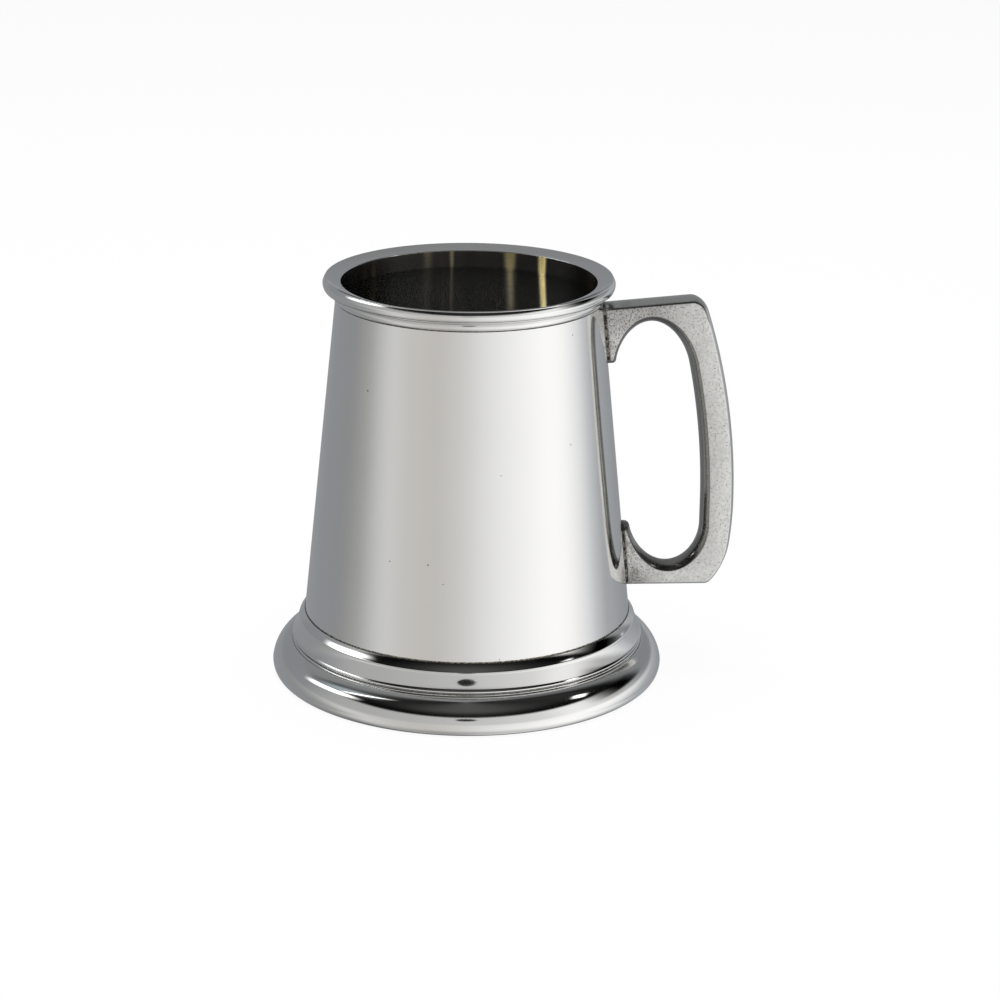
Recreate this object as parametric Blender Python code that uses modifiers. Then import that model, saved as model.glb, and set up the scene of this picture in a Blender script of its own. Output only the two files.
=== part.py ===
"""Pewter pint tankard, built as the pieces that are soldered together to make it.

A tapered barrel stands in a stepped foot and carries a flared rim. A disc closes it below, and a
flat-sided cast handle is soldered to its side. Lengths are in metres. The mug stands on z = 0 with
+Z up, its handle points along +X, and the origin is the bottom centre of its bounding box.
"""
import math

import bmesh
import bpy
from mathutils import Vector

# Joints: a run of solder with a gap on either side of it
CLEARANCE = 0.0003
SOLDER_THICKNESS = 0.0004

# Barrel
BARREL_FOOT_RADIUS = 0.04846
BARREL_TOP_RADIUS = 0.03882
BARREL_HEIGHT = 0.09365
WALL = 0.0016
TAIL_LENGTH = 0.0120
SEAT_DEPTH = 0.0007

# Foot, stacked from the table up: skirt, quirk, collar
SKIRT_HEIGHT = 0.00975
SKIRT_REACH = 0.0060
SKIRT_BULGE = 0.00115
SKIRT_ROOF = 0.0038
FOOT_EDGE_HEIGHT = 0.0022
FOOT_EDGE_WIDTH = 0.0014
STANDING_WIDTH = 0.0030
QUIRK_HEIGHT = 0.0017
QUIRK_DEPTH = 0.0007
COLLAR_HEIGHT = 0.0068
COLLAR_PROUD = 0.0002
COLLAR_FLARE = 0.0037
COLLAR_SHOULDER_DROP = 0.0030
COLLAR_SHOULDER_FLARE = 0.0013
COLLAR_HOLLOW = 0.00012
COLLAR_EDGE = 0.0004

# Rim, stacked from the barrel up: bead, hollow, lip
BEAD_HEIGHT = 0.0015
BEAD_BULGE = 0.00045
NECK_PROUD = 0.0004
HOLLOW_HEIGHT = 0.0018
HOLLOW_SINK = 0.00045
LIP_HEIGHT = 0.0028
LIP_REACH = 0.0036
LIP_BULGE = 0.0007
LIP_DISH = 0.00125
MOUTH_EASE = 0.00035

# Base disc
BASE_THICKNESS = 0.0016
BASE_RECESS = 0.0022

# Handle, measured from the rim's seam, the foot's seam and the barrel's wall
HANDLE_THICKNESS = 0.0086
HANDLE_CROWN = 0.00135
HANDLE_DROP = 0.0020
HANDLE_LIFT = 0.0052
TOP_ARM_RISE = 0.0027
TOP_ARM_DEPTH = 0.0075
BOTTOM_ARM_DEPTH = 0.0066
GRIP_REACH = 0.0313
GRIP_WIDTH = 0.0100
GRIP_TOP_WIDTH = 0.0090
BELLY_LIFT = 0.0255
TOP_CORNER_SETBACK = 0.0119
TOP_CORNER_ROUND = 0.0038
BOTTOM_CORNER_SETBACK = 0.0046
BOTTOM_CORNER_ROUND = 0.0050
UPPER_FANG_LENGTH = 0.0176
LOWER_FANG_LENGTH = 0.0197
FANG_TIP = 0.0018
FANG_SPLAY = 0.0020
LOOP_UPPER_CORNER = 0.0133
LOOP_LOWER_CORNER = 0.0120
HANDLE_ROOT = 0.0060

# Facets: steps round the turned pieces, and points along the curves of an outline
TURN_STEPS = 64
CURVE_STEPS = 6
LONG_CURVE_STEPS = 10
CROWN_STEPS = 2
SHARP_ANGLE = math.radians(30)
MERGE_DISTANCE = 1e-6

# Heights and radii that follow from the sizes above
JOINT = SOLDER_THICKNESS + 2 * CLEARANCE
FOOT_TOP = SKIRT_HEIGHT + QUIRK_HEIGHT + COLLAR_HEIGHT
BARREL_SHOULDER = FOOT_TOP + JOINT
BARREL_TOP = BARREL_SHOULDER + BARREL_HEIGHT
RIM_BOTTOM = BARREL_TOP + JOINT
MUG_TOP = RIM_BOTTOM + BEAD_HEIGHT + HOLLOW_HEIGHT + LIP_HEIGHT
BARREL_TAIL = BARREL_SHOULDER - TAIL_LENGTH
BARREL_TAPER = (BARREL_FOOT_RADIUS - BARREL_TOP_RADIUS) / BARREL_HEIGHT
COLLAR_RADIUS = BARREL_FOOT_RADIUS + COLLAR_PROUD
COLLAR_EDGE_RADIUS = COLLAR_RADIUS + COLLAR_FLARE
FOOT_RADIUS = COLLAR_EDGE_RADIUS + SKIRT_REACH
MOUTH_RADIUS = BARREL_TOP_RADIUS - WALL
BELLY_X = BARREL_FOOT_RADIUS + GRIP_REACH
AXIS_X = (FOOT_RADIUS - BELLY_X) / 2

Point = Vector


def barrel_radius(height: float) -> float:
    """Outer radius of the barrel's cone at a height, also where the cone is only drawn on."""
    return BARREL_TOP_RADIUS + (BARREL_TOP - height) * BARREL_TAPER


def bow(start: tuple, end: tuple, rise: float, steps: int) -> list[Point]:
    """Points of a circular arc that bows out by rise, to the left of the way from start to end."""
    start, end = Point(start), Point(end)
    along = (end - start).normalized()
    side = Point((-along.y, along.x)) * math.copysign(1.0, rise)
    chord = (end - start).length
    half_angle = 2 * math.atan(2 * abs(rise) / chord)
    radius = chord / (2 * math.sin(half_angle))
    centre = (start + end) / 2 - side * radius * math.cos(half_angle)
    angles = [half_angle * (2 * step / steps - 1) for step in range(steps + 1)]
    return [centre + radius * (side * math.cos(a) + along * math.sin(a)) for a in angles]


def swept_corner(start: Point, corner: Point, end: Point, steps: int) -> list[Point]:
    """Points of a quarter ellipse from start to end that leaves along both legs of a corner."""
    start, corner, end = Point(start), Point(corner), Point(end)
    points = []
    for step in range(steps + 1):
        angle = math.pi / 2 * step / steps
        pull_start, pull_end = 1 - math.sin(angle), 1 - math.cos(angle)
        points.append(corner + (start - corner) * pull_start + (end - corner) * pull_end)
    return points


def pewter(name: str, colour: tuple, roughness: float) -> bpy.types.Material:
    """Metal finish of one piece."""
    material = bpy.data.materials.new(name)
    material.use_nodes = True
    shader = material.node_tree.nodes["Principled BSDF"]
    shader.inputs["Base Color"].default_value = (*colour, 1.0)
    shader.inputs["Metallic"].default_value = 1.0
    shader.inputs["Roughness"].default_value = roughness
    return material


class Mug:
    """Collections, axis and finishes that the mug's pieces share."""

    POLISHED = ((0.78, 0.78, 0.77), 0.08)
    SPUN = ((0.62, 0.58, 0.48), 0.30)
    CAST = ((0.70, 0.69, 0.67), 0.38)
    SOLDERED = ((0.25, 0.23, 0.21), 0.55)

    def __init__(self) -> None:
        for leftover in list(bpy.data.objects):
            bpy.data.objects.remove(leftover, do_unlink=True)
        self.pieces = bpy.data.collections.new("pewter_mug")
        self.cutters = bpy.data.collections.new("cutters")
        for collection in (self.pieces, self.cutters):
            bpy.context.scene.collection.children.link(collection)
        self.axis = bpy.data.objects.new("mug_axis", None)
        self.axis.location.x = AXIS_X
        self.pieces.objects.link(self.axis)

    def add_piece(self, name: str, mesh: bpy.types.Mesh, finish: tuple) -> bpy.types.Object:
        """Put a mesh on the mug's axis as a named piece with its own finish."""
        mesh.materials.clear()
        mesh.materials.append(pewter(name, *finish))
        mesh.shade_smooth()
        piece = bpy.data.objects.new(name, mesh)
        piece.parent = self.axis
        self.pieces.objects.link(piece)
        return piece

    def add_cutter(self, name: str, mesh: bpy.types.Mesh) -> bpy.types.Object:
        """Put a mesh on the mug's axis as a cutter, which isn't part of the mug."""
        cutter = bpy.data.objects.new(name, mesh)
        cutter.parent = self.axis
        cutter.hide_render = True
        cutter.display_type = "WIRE"
        self.cutters.objects.link(cutter)
        return cutter


def profile_mesh(name: str, profile: list) -> bpy.types.Mesh:
    """Closed outline in the XZ plane, ready to be turned about the Z axis."""
    outline = bmesh.new()
    corners = [outline.verts.new((point[0], 0.0, point[1])) for point in profile]
    for corner, following in zip(corners, corners[1:] + corners[:1]):
        outline.edges.new((corner, following))
    bmesh.ops.remove_doubles(outline, verts=outline.verts, dist=MERGE_DISTANCE)
    mesh = bpy.data.meshes.new(name)
    outline.to_mesh(mesh)
    outline.free()
    return mesh


def turn(piece: bpy.types.Object) -> None:
    """Turn a piece's outline about the mug's axis into a closed ring."""
    screw = piece.modifiers.new("turn", "SCREW")
    screw.axis = "Z"
    screw.angle = math.tau
    screw.steps = TURN_STEPS
    screw.render_steps = TURN_STEPS
    screw.use_merge_vertices = True
    screw.merge_threshold = MERGE_DISTANCE
    screw.use_smooth_shade = True


def ring_band(inset: float, width: float, low: float, high: float) -> list:
    """Outline of a band that lies inset inside the barrel's outer surface, from high down to low."""
    return [
        (barrel_radius(high) - inset, high),
        (barrel_radius(low) - inset, low),
        (barrel_radius(low) - inset - width, low),
        (barrel_radius(high) - inset - width, high),
    ]


def barrel_profile() -> list:
    """Tapered wall, with a seat turned on its tail for the foot's collar."""
    return [
        (BARREL_TOP_RADIUS, BARREL_TOP),
        (BARREL_FOOT_RADIUS, BARREL_SHOULDER),
        (BARREL_FOOT_RADIUS - SEAT_DEPTH, BARREL_SHOULDER),
        (barrel_radius(BARREL_TAIL) - SEAT_DEPTH, BARREL_TAIL),
        (barrel_radius(BARREL_TAIL) - WALL, BARREL_TAIL),
        (MOUTH_RADIUS, BARREL_TOP),
    ]


def rim_profile() -> list:
    """Dished lip, hollow and bead, over a bore that runs on from the barrel's inside."""
    lip_bottom = RIM_BOTTOM + BEAD_HEIGHT + HOLLOW_HEIGHT
    neck = RIM_BOTTOM + BEAD_HEIGHT
    neck_radius = BARREL_TOP_RADIUS + NECK_PROUD
    lip_radius = BARREL_TOP_RADIUS + LIP_REACH - LIP_BULGE
    mouth_height = MUG_TOP - LIP_DISH
    lip = bow((lip_radius, MUG_TOP), (lip_radius, lip_bottom), LIP_BULGE, CURVE_STEPS)
    hollow = bow((lip_radius, lip_bottom), (neck_radius, neck), -HOLLOW_SINK, CURVE_STEPS)
    bead = bow((neck_radius, neck), (neck_radius, RIM_BOTTOM), BEAD_BULGE, CURVE_STEPS)
    bore = [
        (MOUTH_RADIUS, RIM_BOTTOM),
        (MOUTH_RADIUS, mouth_height - MOUTH_EASE),
        (MOUTH_RADIUS + MOUTH_EASE, mouth_height),
    ]
    return lip + hollow + bead + bore


def foot_profile() -> list:
    """Collar, quirk and skirt outside, and a standing ring, hollow and bore inside."""
    bore_inset = SEAT_DEPTH - CLEARANCE
    quirk_top = SKIRT_HEIGHT + QUIRK_HEIGHT
    quirk_radius = COLLAR_EDGE_RADIUS - QUIRK_DEPTH
    shoulder = (COLLAR_RADIUS + COLLAR_SHOULDER_FLARE, FOOT_TOP - COLLAR_SHOULDER_DROP)
    collar_edge = (COLLAR_EDGE_RADIUS, quirk_top + COLLAR_EDGE)
    belly = (FOOT_RADIUS, FOOT_EDGE_HEIGHT)
    standing_outer = FOOT_RADIUS - FOOT_EDGE_WIDTH
    standing_inner = standing_outer - STANDING_WIDTH
    hollow_top = SKIRT_HEIGHT - SKIRT_ROOF
    bore_bottom = SKIRT_HEIGHT - SKIRT_ROOF / 2
    collar = bow((COLLAR_RADIUS, FOOT_TOP), shoulder, COLLAR_HOLLOW / 2, CURVE_STEPS // 2)
    flare = bow(shoulder, collar_edge, -COLLAR_HOLLOW, CURVE_STEPS // 2)
    quirk = [
        (COLLAR_EDGE_RADIUS - COLLAR_EDGE / 2, quirk_top),
        (quirk_radius, quirk_top - QUIRK_HEIGHT / 3),
        (quirk_radius, SKIRT_HEIGHT + QUIRK_HEIGHT / 3),
    ]
    skirt = bow((COLLAR_EDGE_RADIUS, SKIRT_HEIGHT), belly, SKIRT_BULGE, CURVE_STEPS)
    edge = swept_corner(belly, (FOOT_RADIUS, 0.0), (standing_outer, 0.0), CURVE_STEPS // 2)
    inside = [
        (standing_inner, 0.0),
        (standing_inner - FOOT_EDGE_WIDTH / 2, hollow_top),
        (barrel_radius(bore_bottom) - bore_inset, bore_bottom),
        (barrel_radius(FOOT_TOP) - bore_inset, FOOT_TOP),
    ]
    return collar + flare + quirk + skirt + edge + inside


def add_turned_pieces(mug: Mug) -> None:
    """Barrel, rim and foot, with the solder rings between them."""
    rim_solder_low = BARREL_TOP + CLEARANCE
    rim_solder_high = RIM_BOTTOM - CLEARANCE
    foot_solder_low = FOOT_TOP + CLEARANCE
    foot_solder_high = BARREL_SHOULDER - CLEARANCE
    rim_solder = ring_band(0.0, WALL, rim_solder_low, rim_solder_high)
    foot_solder = ring_band(0.0, SEAT_DEPTH - CLEARANCE, foot_solder_low, foot_solder_high)
    for name, profile, finish in (
        ("barrel", barrel_profile(), Mug.POLISHED),
        ("rim", rim_profile(), Mug.POLISHED),
        ("foot", foot_profile(), Mug.POLISHED),
        ("rim_solder", rim_solder, Mug.SOLDERED),
        ("foot_solder", foot_solder, Mug.SOLDERED),
    ):
        turn(mug.add_piece(name, profile_mesh(name, profile), finish))


def add_base(mug: Mug) -> None:
    """Base disc inside the barrel's tail, and the ring of solder round it."""
    low = BARREL_TAIL + BASE_RECESS
    high = low + BASE_THICKNESS
    disc = bmesh.new()
    radius = barrel_radius(high) - WALL - JOINT
    bmesh.ops.create_cone(
        disc, cap_ends=True, segments=TURN_STEPS, radius1=radius, radius2=radius, depth=BASE_THICKNESS
    )
    mesh = bpy.data.meshes.new("base_disc")
    disc.to_mesh(mesh)
    disc.free()
    mug.add_piece("base_disc", mesh, Mug.SPUN).location.z = (low + high) / 2
    mesh.set_sharp_from_angle(angle=SHARP_ANGLE)
    solder = ring_band(WALL + CLEARANCE, SOLDER_THICKNESS, low, high)
    turn(mug.add_piece("base_solder", profile_mesh("base_solder", solder), Mug.SOLDERED))


def belly_arc(belly: Point, end: Point, steps: int) -> list[Point]:
    """Points of the arc that leaves the grip's belly upright and runs to an end point."""
    inset = belly.x - end.x
    climb = end.y - belly.y
    radius = (inset**2 + climb**2) / (2 * inset)
    sweep = math.asin(climb / radius)
    turns = [sweep * step / steps for step in range(steps + 1)]
    return [belly + Point((radius * (math.cos(a) - 1), radius * math.sin(a))) for a in turns]


def handle_outline() -> list[Point]:
    """Outline of the handle at its crest: outside from top to bottom, then inside back up.

    Both arms run on into the barrel, where the barrel's own cone trims them.
    """
    top = BARREL_TOP - HANDLE_DROP
    bottom = BARREL_SHOULDER + HANDLE_LIFT
    root_x = barrel_radius(top) - HANDLE_ROOT
    belly = Point((BELLY_X, bottom + BELLY_LIFT))
    top_corner = Point((BELLY_X - TOP_CORNER_SETBACK, top + TOP_ARM_RISE))
    bottom_corner = Point((BELLY_X - BOTTOM_CORNER_SETBACK, bottom))
    top_root = Point((root_x, top))
    bottom_root = Point((root_x, bottom))

    upper_back = belly_arc(belly, top_corner, LONG_CURVE_STEPS)
    lower_back = belly_arc(belly, bottom_corner, CURVE_STEPS)
    top_leg = (top_root - top_corner).normalized() * TOP_CORNER_ROUND
    top_turn = swept_corner(top_corner + top_leg, top_corner, upper_back[-2], CURVE_STEPS)
    bottom_leg = Point((-BOTTOM_CORNER_ROUND, 0.0))
    bottom_turn = swept_corner(lower_back[-2], bottom_corner, bottom_corner + bottom_leg, CURVE_STEPS)
    outside = [top_root] + top_turn + upper_back[-3:0:-1] + lower_back[:-2] + bottom_turn + [bottom_root]

    loop_top = top + TOP_ARM_RISE - TOP_ARM_DEPTH
    loop_bottom = bottom + BOTTOM_ARM_DEPTH
    upper_tip_height = top - UPPER_FANG_LENGTH
    lower_tip_height = bottom + LOWER_FANG_LENGTH
    upper_tip = Point((barrel_radius(upper_tip_height) + FANG_TIP, upper_tip_height))
    lower_tip = Point((barrel_radius(lower_tip_height) + FANG_TIP, lower_tip_height))
    grip_low = Point((BELLY_X - GRIP_WIDTH, max(belly.y, loop_bottom + LOOP_LOWER_CORNER)))
    grip_top_height = loop_top - LOOP_UPPER_CORNER
    back_at_top = min(upper_back, key=lambda point: abs(point.y - grip_top_height))
    grip_top = Point((back_at_top.x - GRIP_TOP_WIDTH, grip_top_height))
    inner_grip = belly_arc(grip_low, grip_top, CURVE_STEPS)

    lean = (inner_grip[-1] - inner_grip[-2]).normalized()
    upper_outer = grip_top + lean * (loop_top - grip_top.y) / lean.y
    upper_inner = Point((upper_tip.x + FANG_SPLAY / 2, loop_top))
    lower_outer = Point((grip_low.x, loop_bottom))
    lower_inner = Point((lower_tip.x + FANG_SPLAY, loop_bottom))
    crown = (upper_inner + upper_outer) / 2
    trough = (lower_inner + lower_outer) / 2
    corner_end = Point((grip_low.x, loop_bottom + LOOP_LOWER_CORNER))
    inside = (
        [Point((root_x, lower_tip.y))]
        + swept_corner(lower_tip, lower_inner, trough, CURVE_STEPS)
        + swept_corner(trough, lower_outer, corner_end, CURVE_STEPS)[1:]
        + inner_grip
        + swept_corner(grip_top, upper_outer, crown, CURVE_STEPS)[1:]
        + swept_corner(crown, upper_inner, upper_tip, CURVE_STEPS)[1:]
        + [Point((root_x, upper_tip.y))]
    )
    return outside + inside


def handle_plate() -> bpy.types.Mesh:
    """Flat plate of the handle's outline, as thick as the handle, lying in the XY plane."""
    outline = handle_outline()
    curve = bpy.data.curves.new("handle_outline", "CURVE")
    curve.dimensions = "2D"
    curve.fill_mode = "BOTH"
    curve.extrude = HANDLE_THICKNESS / 2
    spline = curve.splines.new("POLY")
    spline.points.add(len(outline) - 1)
    for corner, point in zip(spline.points, outline):
        corner.co = (point.x, point.y, 0.0, 1.0)
    spline.use_cyclic_u = True
    holder = bpy.data.objects.new("handle_outline", curve)
    bpy.context.scene.collection.objects.link(holder)
    depsgraph = bpy.context.evaluated_depsgraph_get()
    mesh = bpy.data.meshes.new_from_object(holder.evaluated_get(depsgraph))
    bpy.data.objects.remove(holder, do_unlink=True)

    plate = bmesh.new()
    plate.from_mesh(mesh)
    bmesh.ops.remove_doubles(plate, verts=plate.verts, dist=MERGE_DISTANCE)
    bmesh.ops.recalc_face_normals(plate, faces=plate.faces)
    for side in (-1, 1):
        cap = [face for face in plate.faces if face.normal.z * side > math.cos(SHARP_ANGLE)]
        bmesh.ops.dissolve_faces(plate, faces=cap)
    plate.to_mesh(mesh)
    plate.free()
    return mesh


def crown_edges(piece: bpy.types.Object) -> None:
    """Round the long edges between a plate's flat sides and its inner and outer faces."""
    bevel = piece.modifiers.new("crown", "BEVEL")
    bevel.width = HANDLE_CROWN
    bevel.segments = CROWN_STEPS
    bevel.limit_method = "ANGLE"
    bevel.angle_limit = math.radians(60)


def combine(piece: bpy.types.Object, operation: str, other: bpy.types.Object) -> None:
    """Cut a piece with a cutter, or keep only what the two share."""
    cut = piece.modifiers.new(operation.lower(), "BOOLEAN")
    cut.operation = operation
    cut.solver = "EXACT"
    cut.object = other


def barrel_envelope(mug: Mug) -> bpy.types.Object:
    """Solid cone round the barrel that leaves room for the handle's solder."""
    cone = bmesh.new()
    bmesh.ops.create_cone(
        cone,
        cap_ends=True,
        segments=TURN_STEPS,
        radius1=barrel_radius(0.0) + JOINT,
        radius2=barrel_radius(MUG_TOP) + JOINT,
        depth=MUG_TOP,
    )
    mesh = bpy.data.meshes.new("barrel_envelope")
    cone.to_mesh(mesh)
    cone.free()
    cutter = mug.add_cutter("barrel_envelope", mesh)
    cutter.location.z = MUG_TOP / 2
    return cutter


def add_handle(mug: Mug) -> None:
    """Handle, and the two beds of solder between its feet and the barrel."""
    upright = (math.pi / 2, 0.0, 0.0)
    handle = mug.add_piece("handle", handle_plate(), Mug.CAST)
    handle.rotation_euler = upright
    crown_edges(handle)
    combine(handle, "DIFFERENCE", barrel_envelope(mug))

    middle = (BARREL_SHOULDER + BARREL_TOP) / 2
    for name, low, high in (
        ("upper_handle_solder", middle, MUG_TOP),
        ("lower_handle_solder", 0.0, middle),
    ):
        bed = ring_band(-CLEARANCE - SOLDER_THICKNESS, SOLDER_THICKNESS, low, high)
        shell = mug.add_cutter(name + "_shell", profile_mesh(name + "_shell", bed))
        turn(shell)
        solder = mug.add_piece(name, handle_plate(), Mug.SOLDERED)
        solder.rotation_euler = upright
        crown_edges(solder)
        combine(solder, "INTERSECT", shell)


def main() -> None:
    """Build every piece of the mug."""
    mug = Mug()
    add_turned_pieces(mug)
    add_base(mug)
    add_handle(mug)


main()
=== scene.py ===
"""Looks of a pewter pint mug: five pieces of metal and their solder, on a pale studio sweep.

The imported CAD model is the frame. Each of its nodes is replaced by a finer piece of the same size
and place, turned or cut from the same outline, with its own polished, cast or tarnished finish.
Lengths are in metres, +Z is up and the handle points along +X.
"""
import logging
import math
from dataclasses import dataclass
from enum import Enum, IntEnum

import bmesh
import bpy
from mathutils import Matrix, Vector

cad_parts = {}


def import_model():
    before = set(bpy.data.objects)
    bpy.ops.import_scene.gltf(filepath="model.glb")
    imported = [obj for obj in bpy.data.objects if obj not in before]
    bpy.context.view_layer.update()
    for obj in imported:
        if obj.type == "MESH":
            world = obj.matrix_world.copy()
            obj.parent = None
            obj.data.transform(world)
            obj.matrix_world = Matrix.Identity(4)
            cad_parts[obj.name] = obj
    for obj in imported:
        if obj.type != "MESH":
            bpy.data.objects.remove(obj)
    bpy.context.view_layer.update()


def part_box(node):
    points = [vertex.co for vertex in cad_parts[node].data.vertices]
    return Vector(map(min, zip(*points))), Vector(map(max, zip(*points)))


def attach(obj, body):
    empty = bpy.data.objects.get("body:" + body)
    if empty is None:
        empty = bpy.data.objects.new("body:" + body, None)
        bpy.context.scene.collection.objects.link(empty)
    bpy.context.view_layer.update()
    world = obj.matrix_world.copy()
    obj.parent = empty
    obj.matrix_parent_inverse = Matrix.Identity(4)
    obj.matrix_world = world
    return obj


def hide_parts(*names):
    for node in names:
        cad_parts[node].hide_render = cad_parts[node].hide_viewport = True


LOG = logging.getLogger("pewter_mug")
BODY = "root"
TURN_STEPS = 192
WELD = 1e-6
BORE_FACING = -0.97
SHARP_ANGLE = math.radians(32)
SPOT_EDGE = 0.4
BLACK = (0.0, 0.0, 0.0)
WHITE = (1.0, 1.0, 1.0)

Socket = bpy.types.NodeSocket
Colour = tuple[float, float, float]
# Radius and height of a point of an outline.
Point = tuple[float, float]
# Two heights, two angles, or a number and how far round it something reaches.
Pair = tuple[float, float]
# Where an easing starts and ends, then its results there unless they are 0 and 1.
Easing = tuple[float, ...]
# Clouds to a metre, finer layers on top, and the share that each finer layer keeps.
Clouds = tuple[float, ...]
# Places for a spot to a metre, its size between two places, and the share of places with a spot.
Spots = tuple[float, float, float]
# Azimuth in degrees from the camera to the right, level of light and blueness.
Levels = tuple[tuple[float, float, float], ...]


class Slot(Enum):
    """Material slots of the record."""

    POLISHED = "polished_pewter"
    CAST = "cast_pewter"
    SPUN = "spun_pewter"
    SOLDER = "solder"


class Mixed(Enum):
    """What a Mix node mixes: its data type, the numbers of its two inputs and of its output."""

    COLOUR = ("RGBA", 6, 7, 2)
    VECTOR = ("VECTOR", 4, 5, 1)


class HandleFace(IntEnum):
    """Material numbers of the handle's faces."""

    SIDE = 0
    BACK = 1
    LOOP = 2


@dataclass(frozen=True)
class BarrelCone:
    """The barrel's outer cone, which the foot, the rim and the handle are fitted to."""

    axis_x: float
    low: float = 0.01875
    high: float = 0.1134
    low_radius: float = 0.04851
    high_radius: float = 0.03877

    @property
    def stand(self) -> Vector:
        """Where the mug's axis meets the table."""
        return Vector((self.axis_x, 0.0, 0.0))

    @property
    def taper(self) -> float:
        """Radius lost for each metre of height."""
        return (self.low_radius - self.high_radius) / (self.high - self.low)

    def radius(self, height: float) -> float:
        """Outer radius of the cone at a height, also past the cone's two ends."""
        return self.low_radius - (height - self.low) * self.taper

    def wall_normal(self) -> Vector:
        """Outward direction of the wall under the handle."""
        return Vector((1.0, 0.0, self.taper)).normalized()


def bow(start: Point | Vector, end: Point | Vector, rise: float, steps: int) -> list[Vector]:
    """Points of a circular arc between two points of an outline.

    Args:
        start: First point, as radius and height.
        end: Last point.
        rise: How far the arc bows out to the left of the way, or to the right if negative.
        steps: Number of pieces that the arc is cut into.

    Returns:
        The arc's points, both ends included.
    """
    first, last = Vector(start), Vector(end)
    along = (last - first).normalized()
    side = Vector((-along.y, along.x)) * math.copysign(1.0, rise)
    chord = (last - first).length
    half = 2 * math.atan(2 * abs(rise) / chord)
    radius = chord / (2 * math.sin(half))
    centre = (first + last) / 2 - side * radius * math.cos(half)
    turns = [half * (2 * step / steps - 1) for step in range(steps + 1)]
    return [centre + radius * (side * math.cos(a) + along * math.sin(a)) for a in turns]


def swept_corner(start: Vector, corner: Vector, end: Vector, steps: int) -> list[Vector]:
    """Points of a quarter ellipse that leaves along both legs of a corner.

    Args:
        start: Point on the first leg.
        corner: Where the legs would meet.
        end: Point on the second leg.
        steps: Number of pieces that the curve is cut into.

    Returns:
        The curve's points, both ends included.
    """
    points = []
    for step in range(steps + 1):
        angle = math.pi / 2 * step / steps
        pull_start, pull_end = 1 - math.sin(angle), 1 - math.cos(angle)
        points.append(corner + (start - corner) * pull_start + (end - corner) * pull_end)
    return points


def first_near(points: list[Vector], target: Vector, distance: float) -> int:
    """Number of the first point that is closer to a target than a distance."""
    return next(i for i, point in enumerate(points) if (point - target).length < distance)


def every_part(shape: bmesh.types.BMesh) -> list:
    """All vertices, edges and faces of a shape."""
    return [*shape.verts, *shape.edges, *shape.faces]


def soften(shape: bmesh.types.BMesh, edges: list, width: float, segments: int, clamp: bool) -> None:
    """Bevel some edges of a shape.

    Args:
        shape: The shape.
        edges: Its edges to bevel.
        width: How far from an edge its bevel starts.
        segments: Number of faces across a bevel.
        clamp: Whether bevels are kept from running into each other.
    """
    bmesh.ops.bevel(
        shape,
        geom=edges,
        offset=width,
        affect="EDGES",
        segments=segments,
        profile=0.5,
        material=-1,
        clamp_overlap=clamp,
    )


def mesh_of(name: str, shape: bmesh.types.BMesh, materials: list[bpy.types.Material]) -> bpy.types.Mesh:
    """Make a mesh.

    Args:
        name: The mesh's name.
        shape: Its shape, which is used up.
        materials: Its materials, in the order of its faces' material numbers.

    Returns:
        The mesh.
    """
    mesh = bpy.data.meshes.new(name)
    shape.to_mesh(mesh)
    shape.free()
    for material in materials:
        mesh.materials.append(material)
    return mesh


def add_object(name: str, data: bpy.types.ID) -> bpy.types.Object:
    """Put a mesh, a lamp or a camera in the scene.

    Args:
        name: The object's name.
        data: What it shows.

    Returns:
        The object.
    """
    thing = bpy.data.objects.new(name, data)
    bpy.context.scene.collection.objects.link(thing)
    return thing


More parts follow.
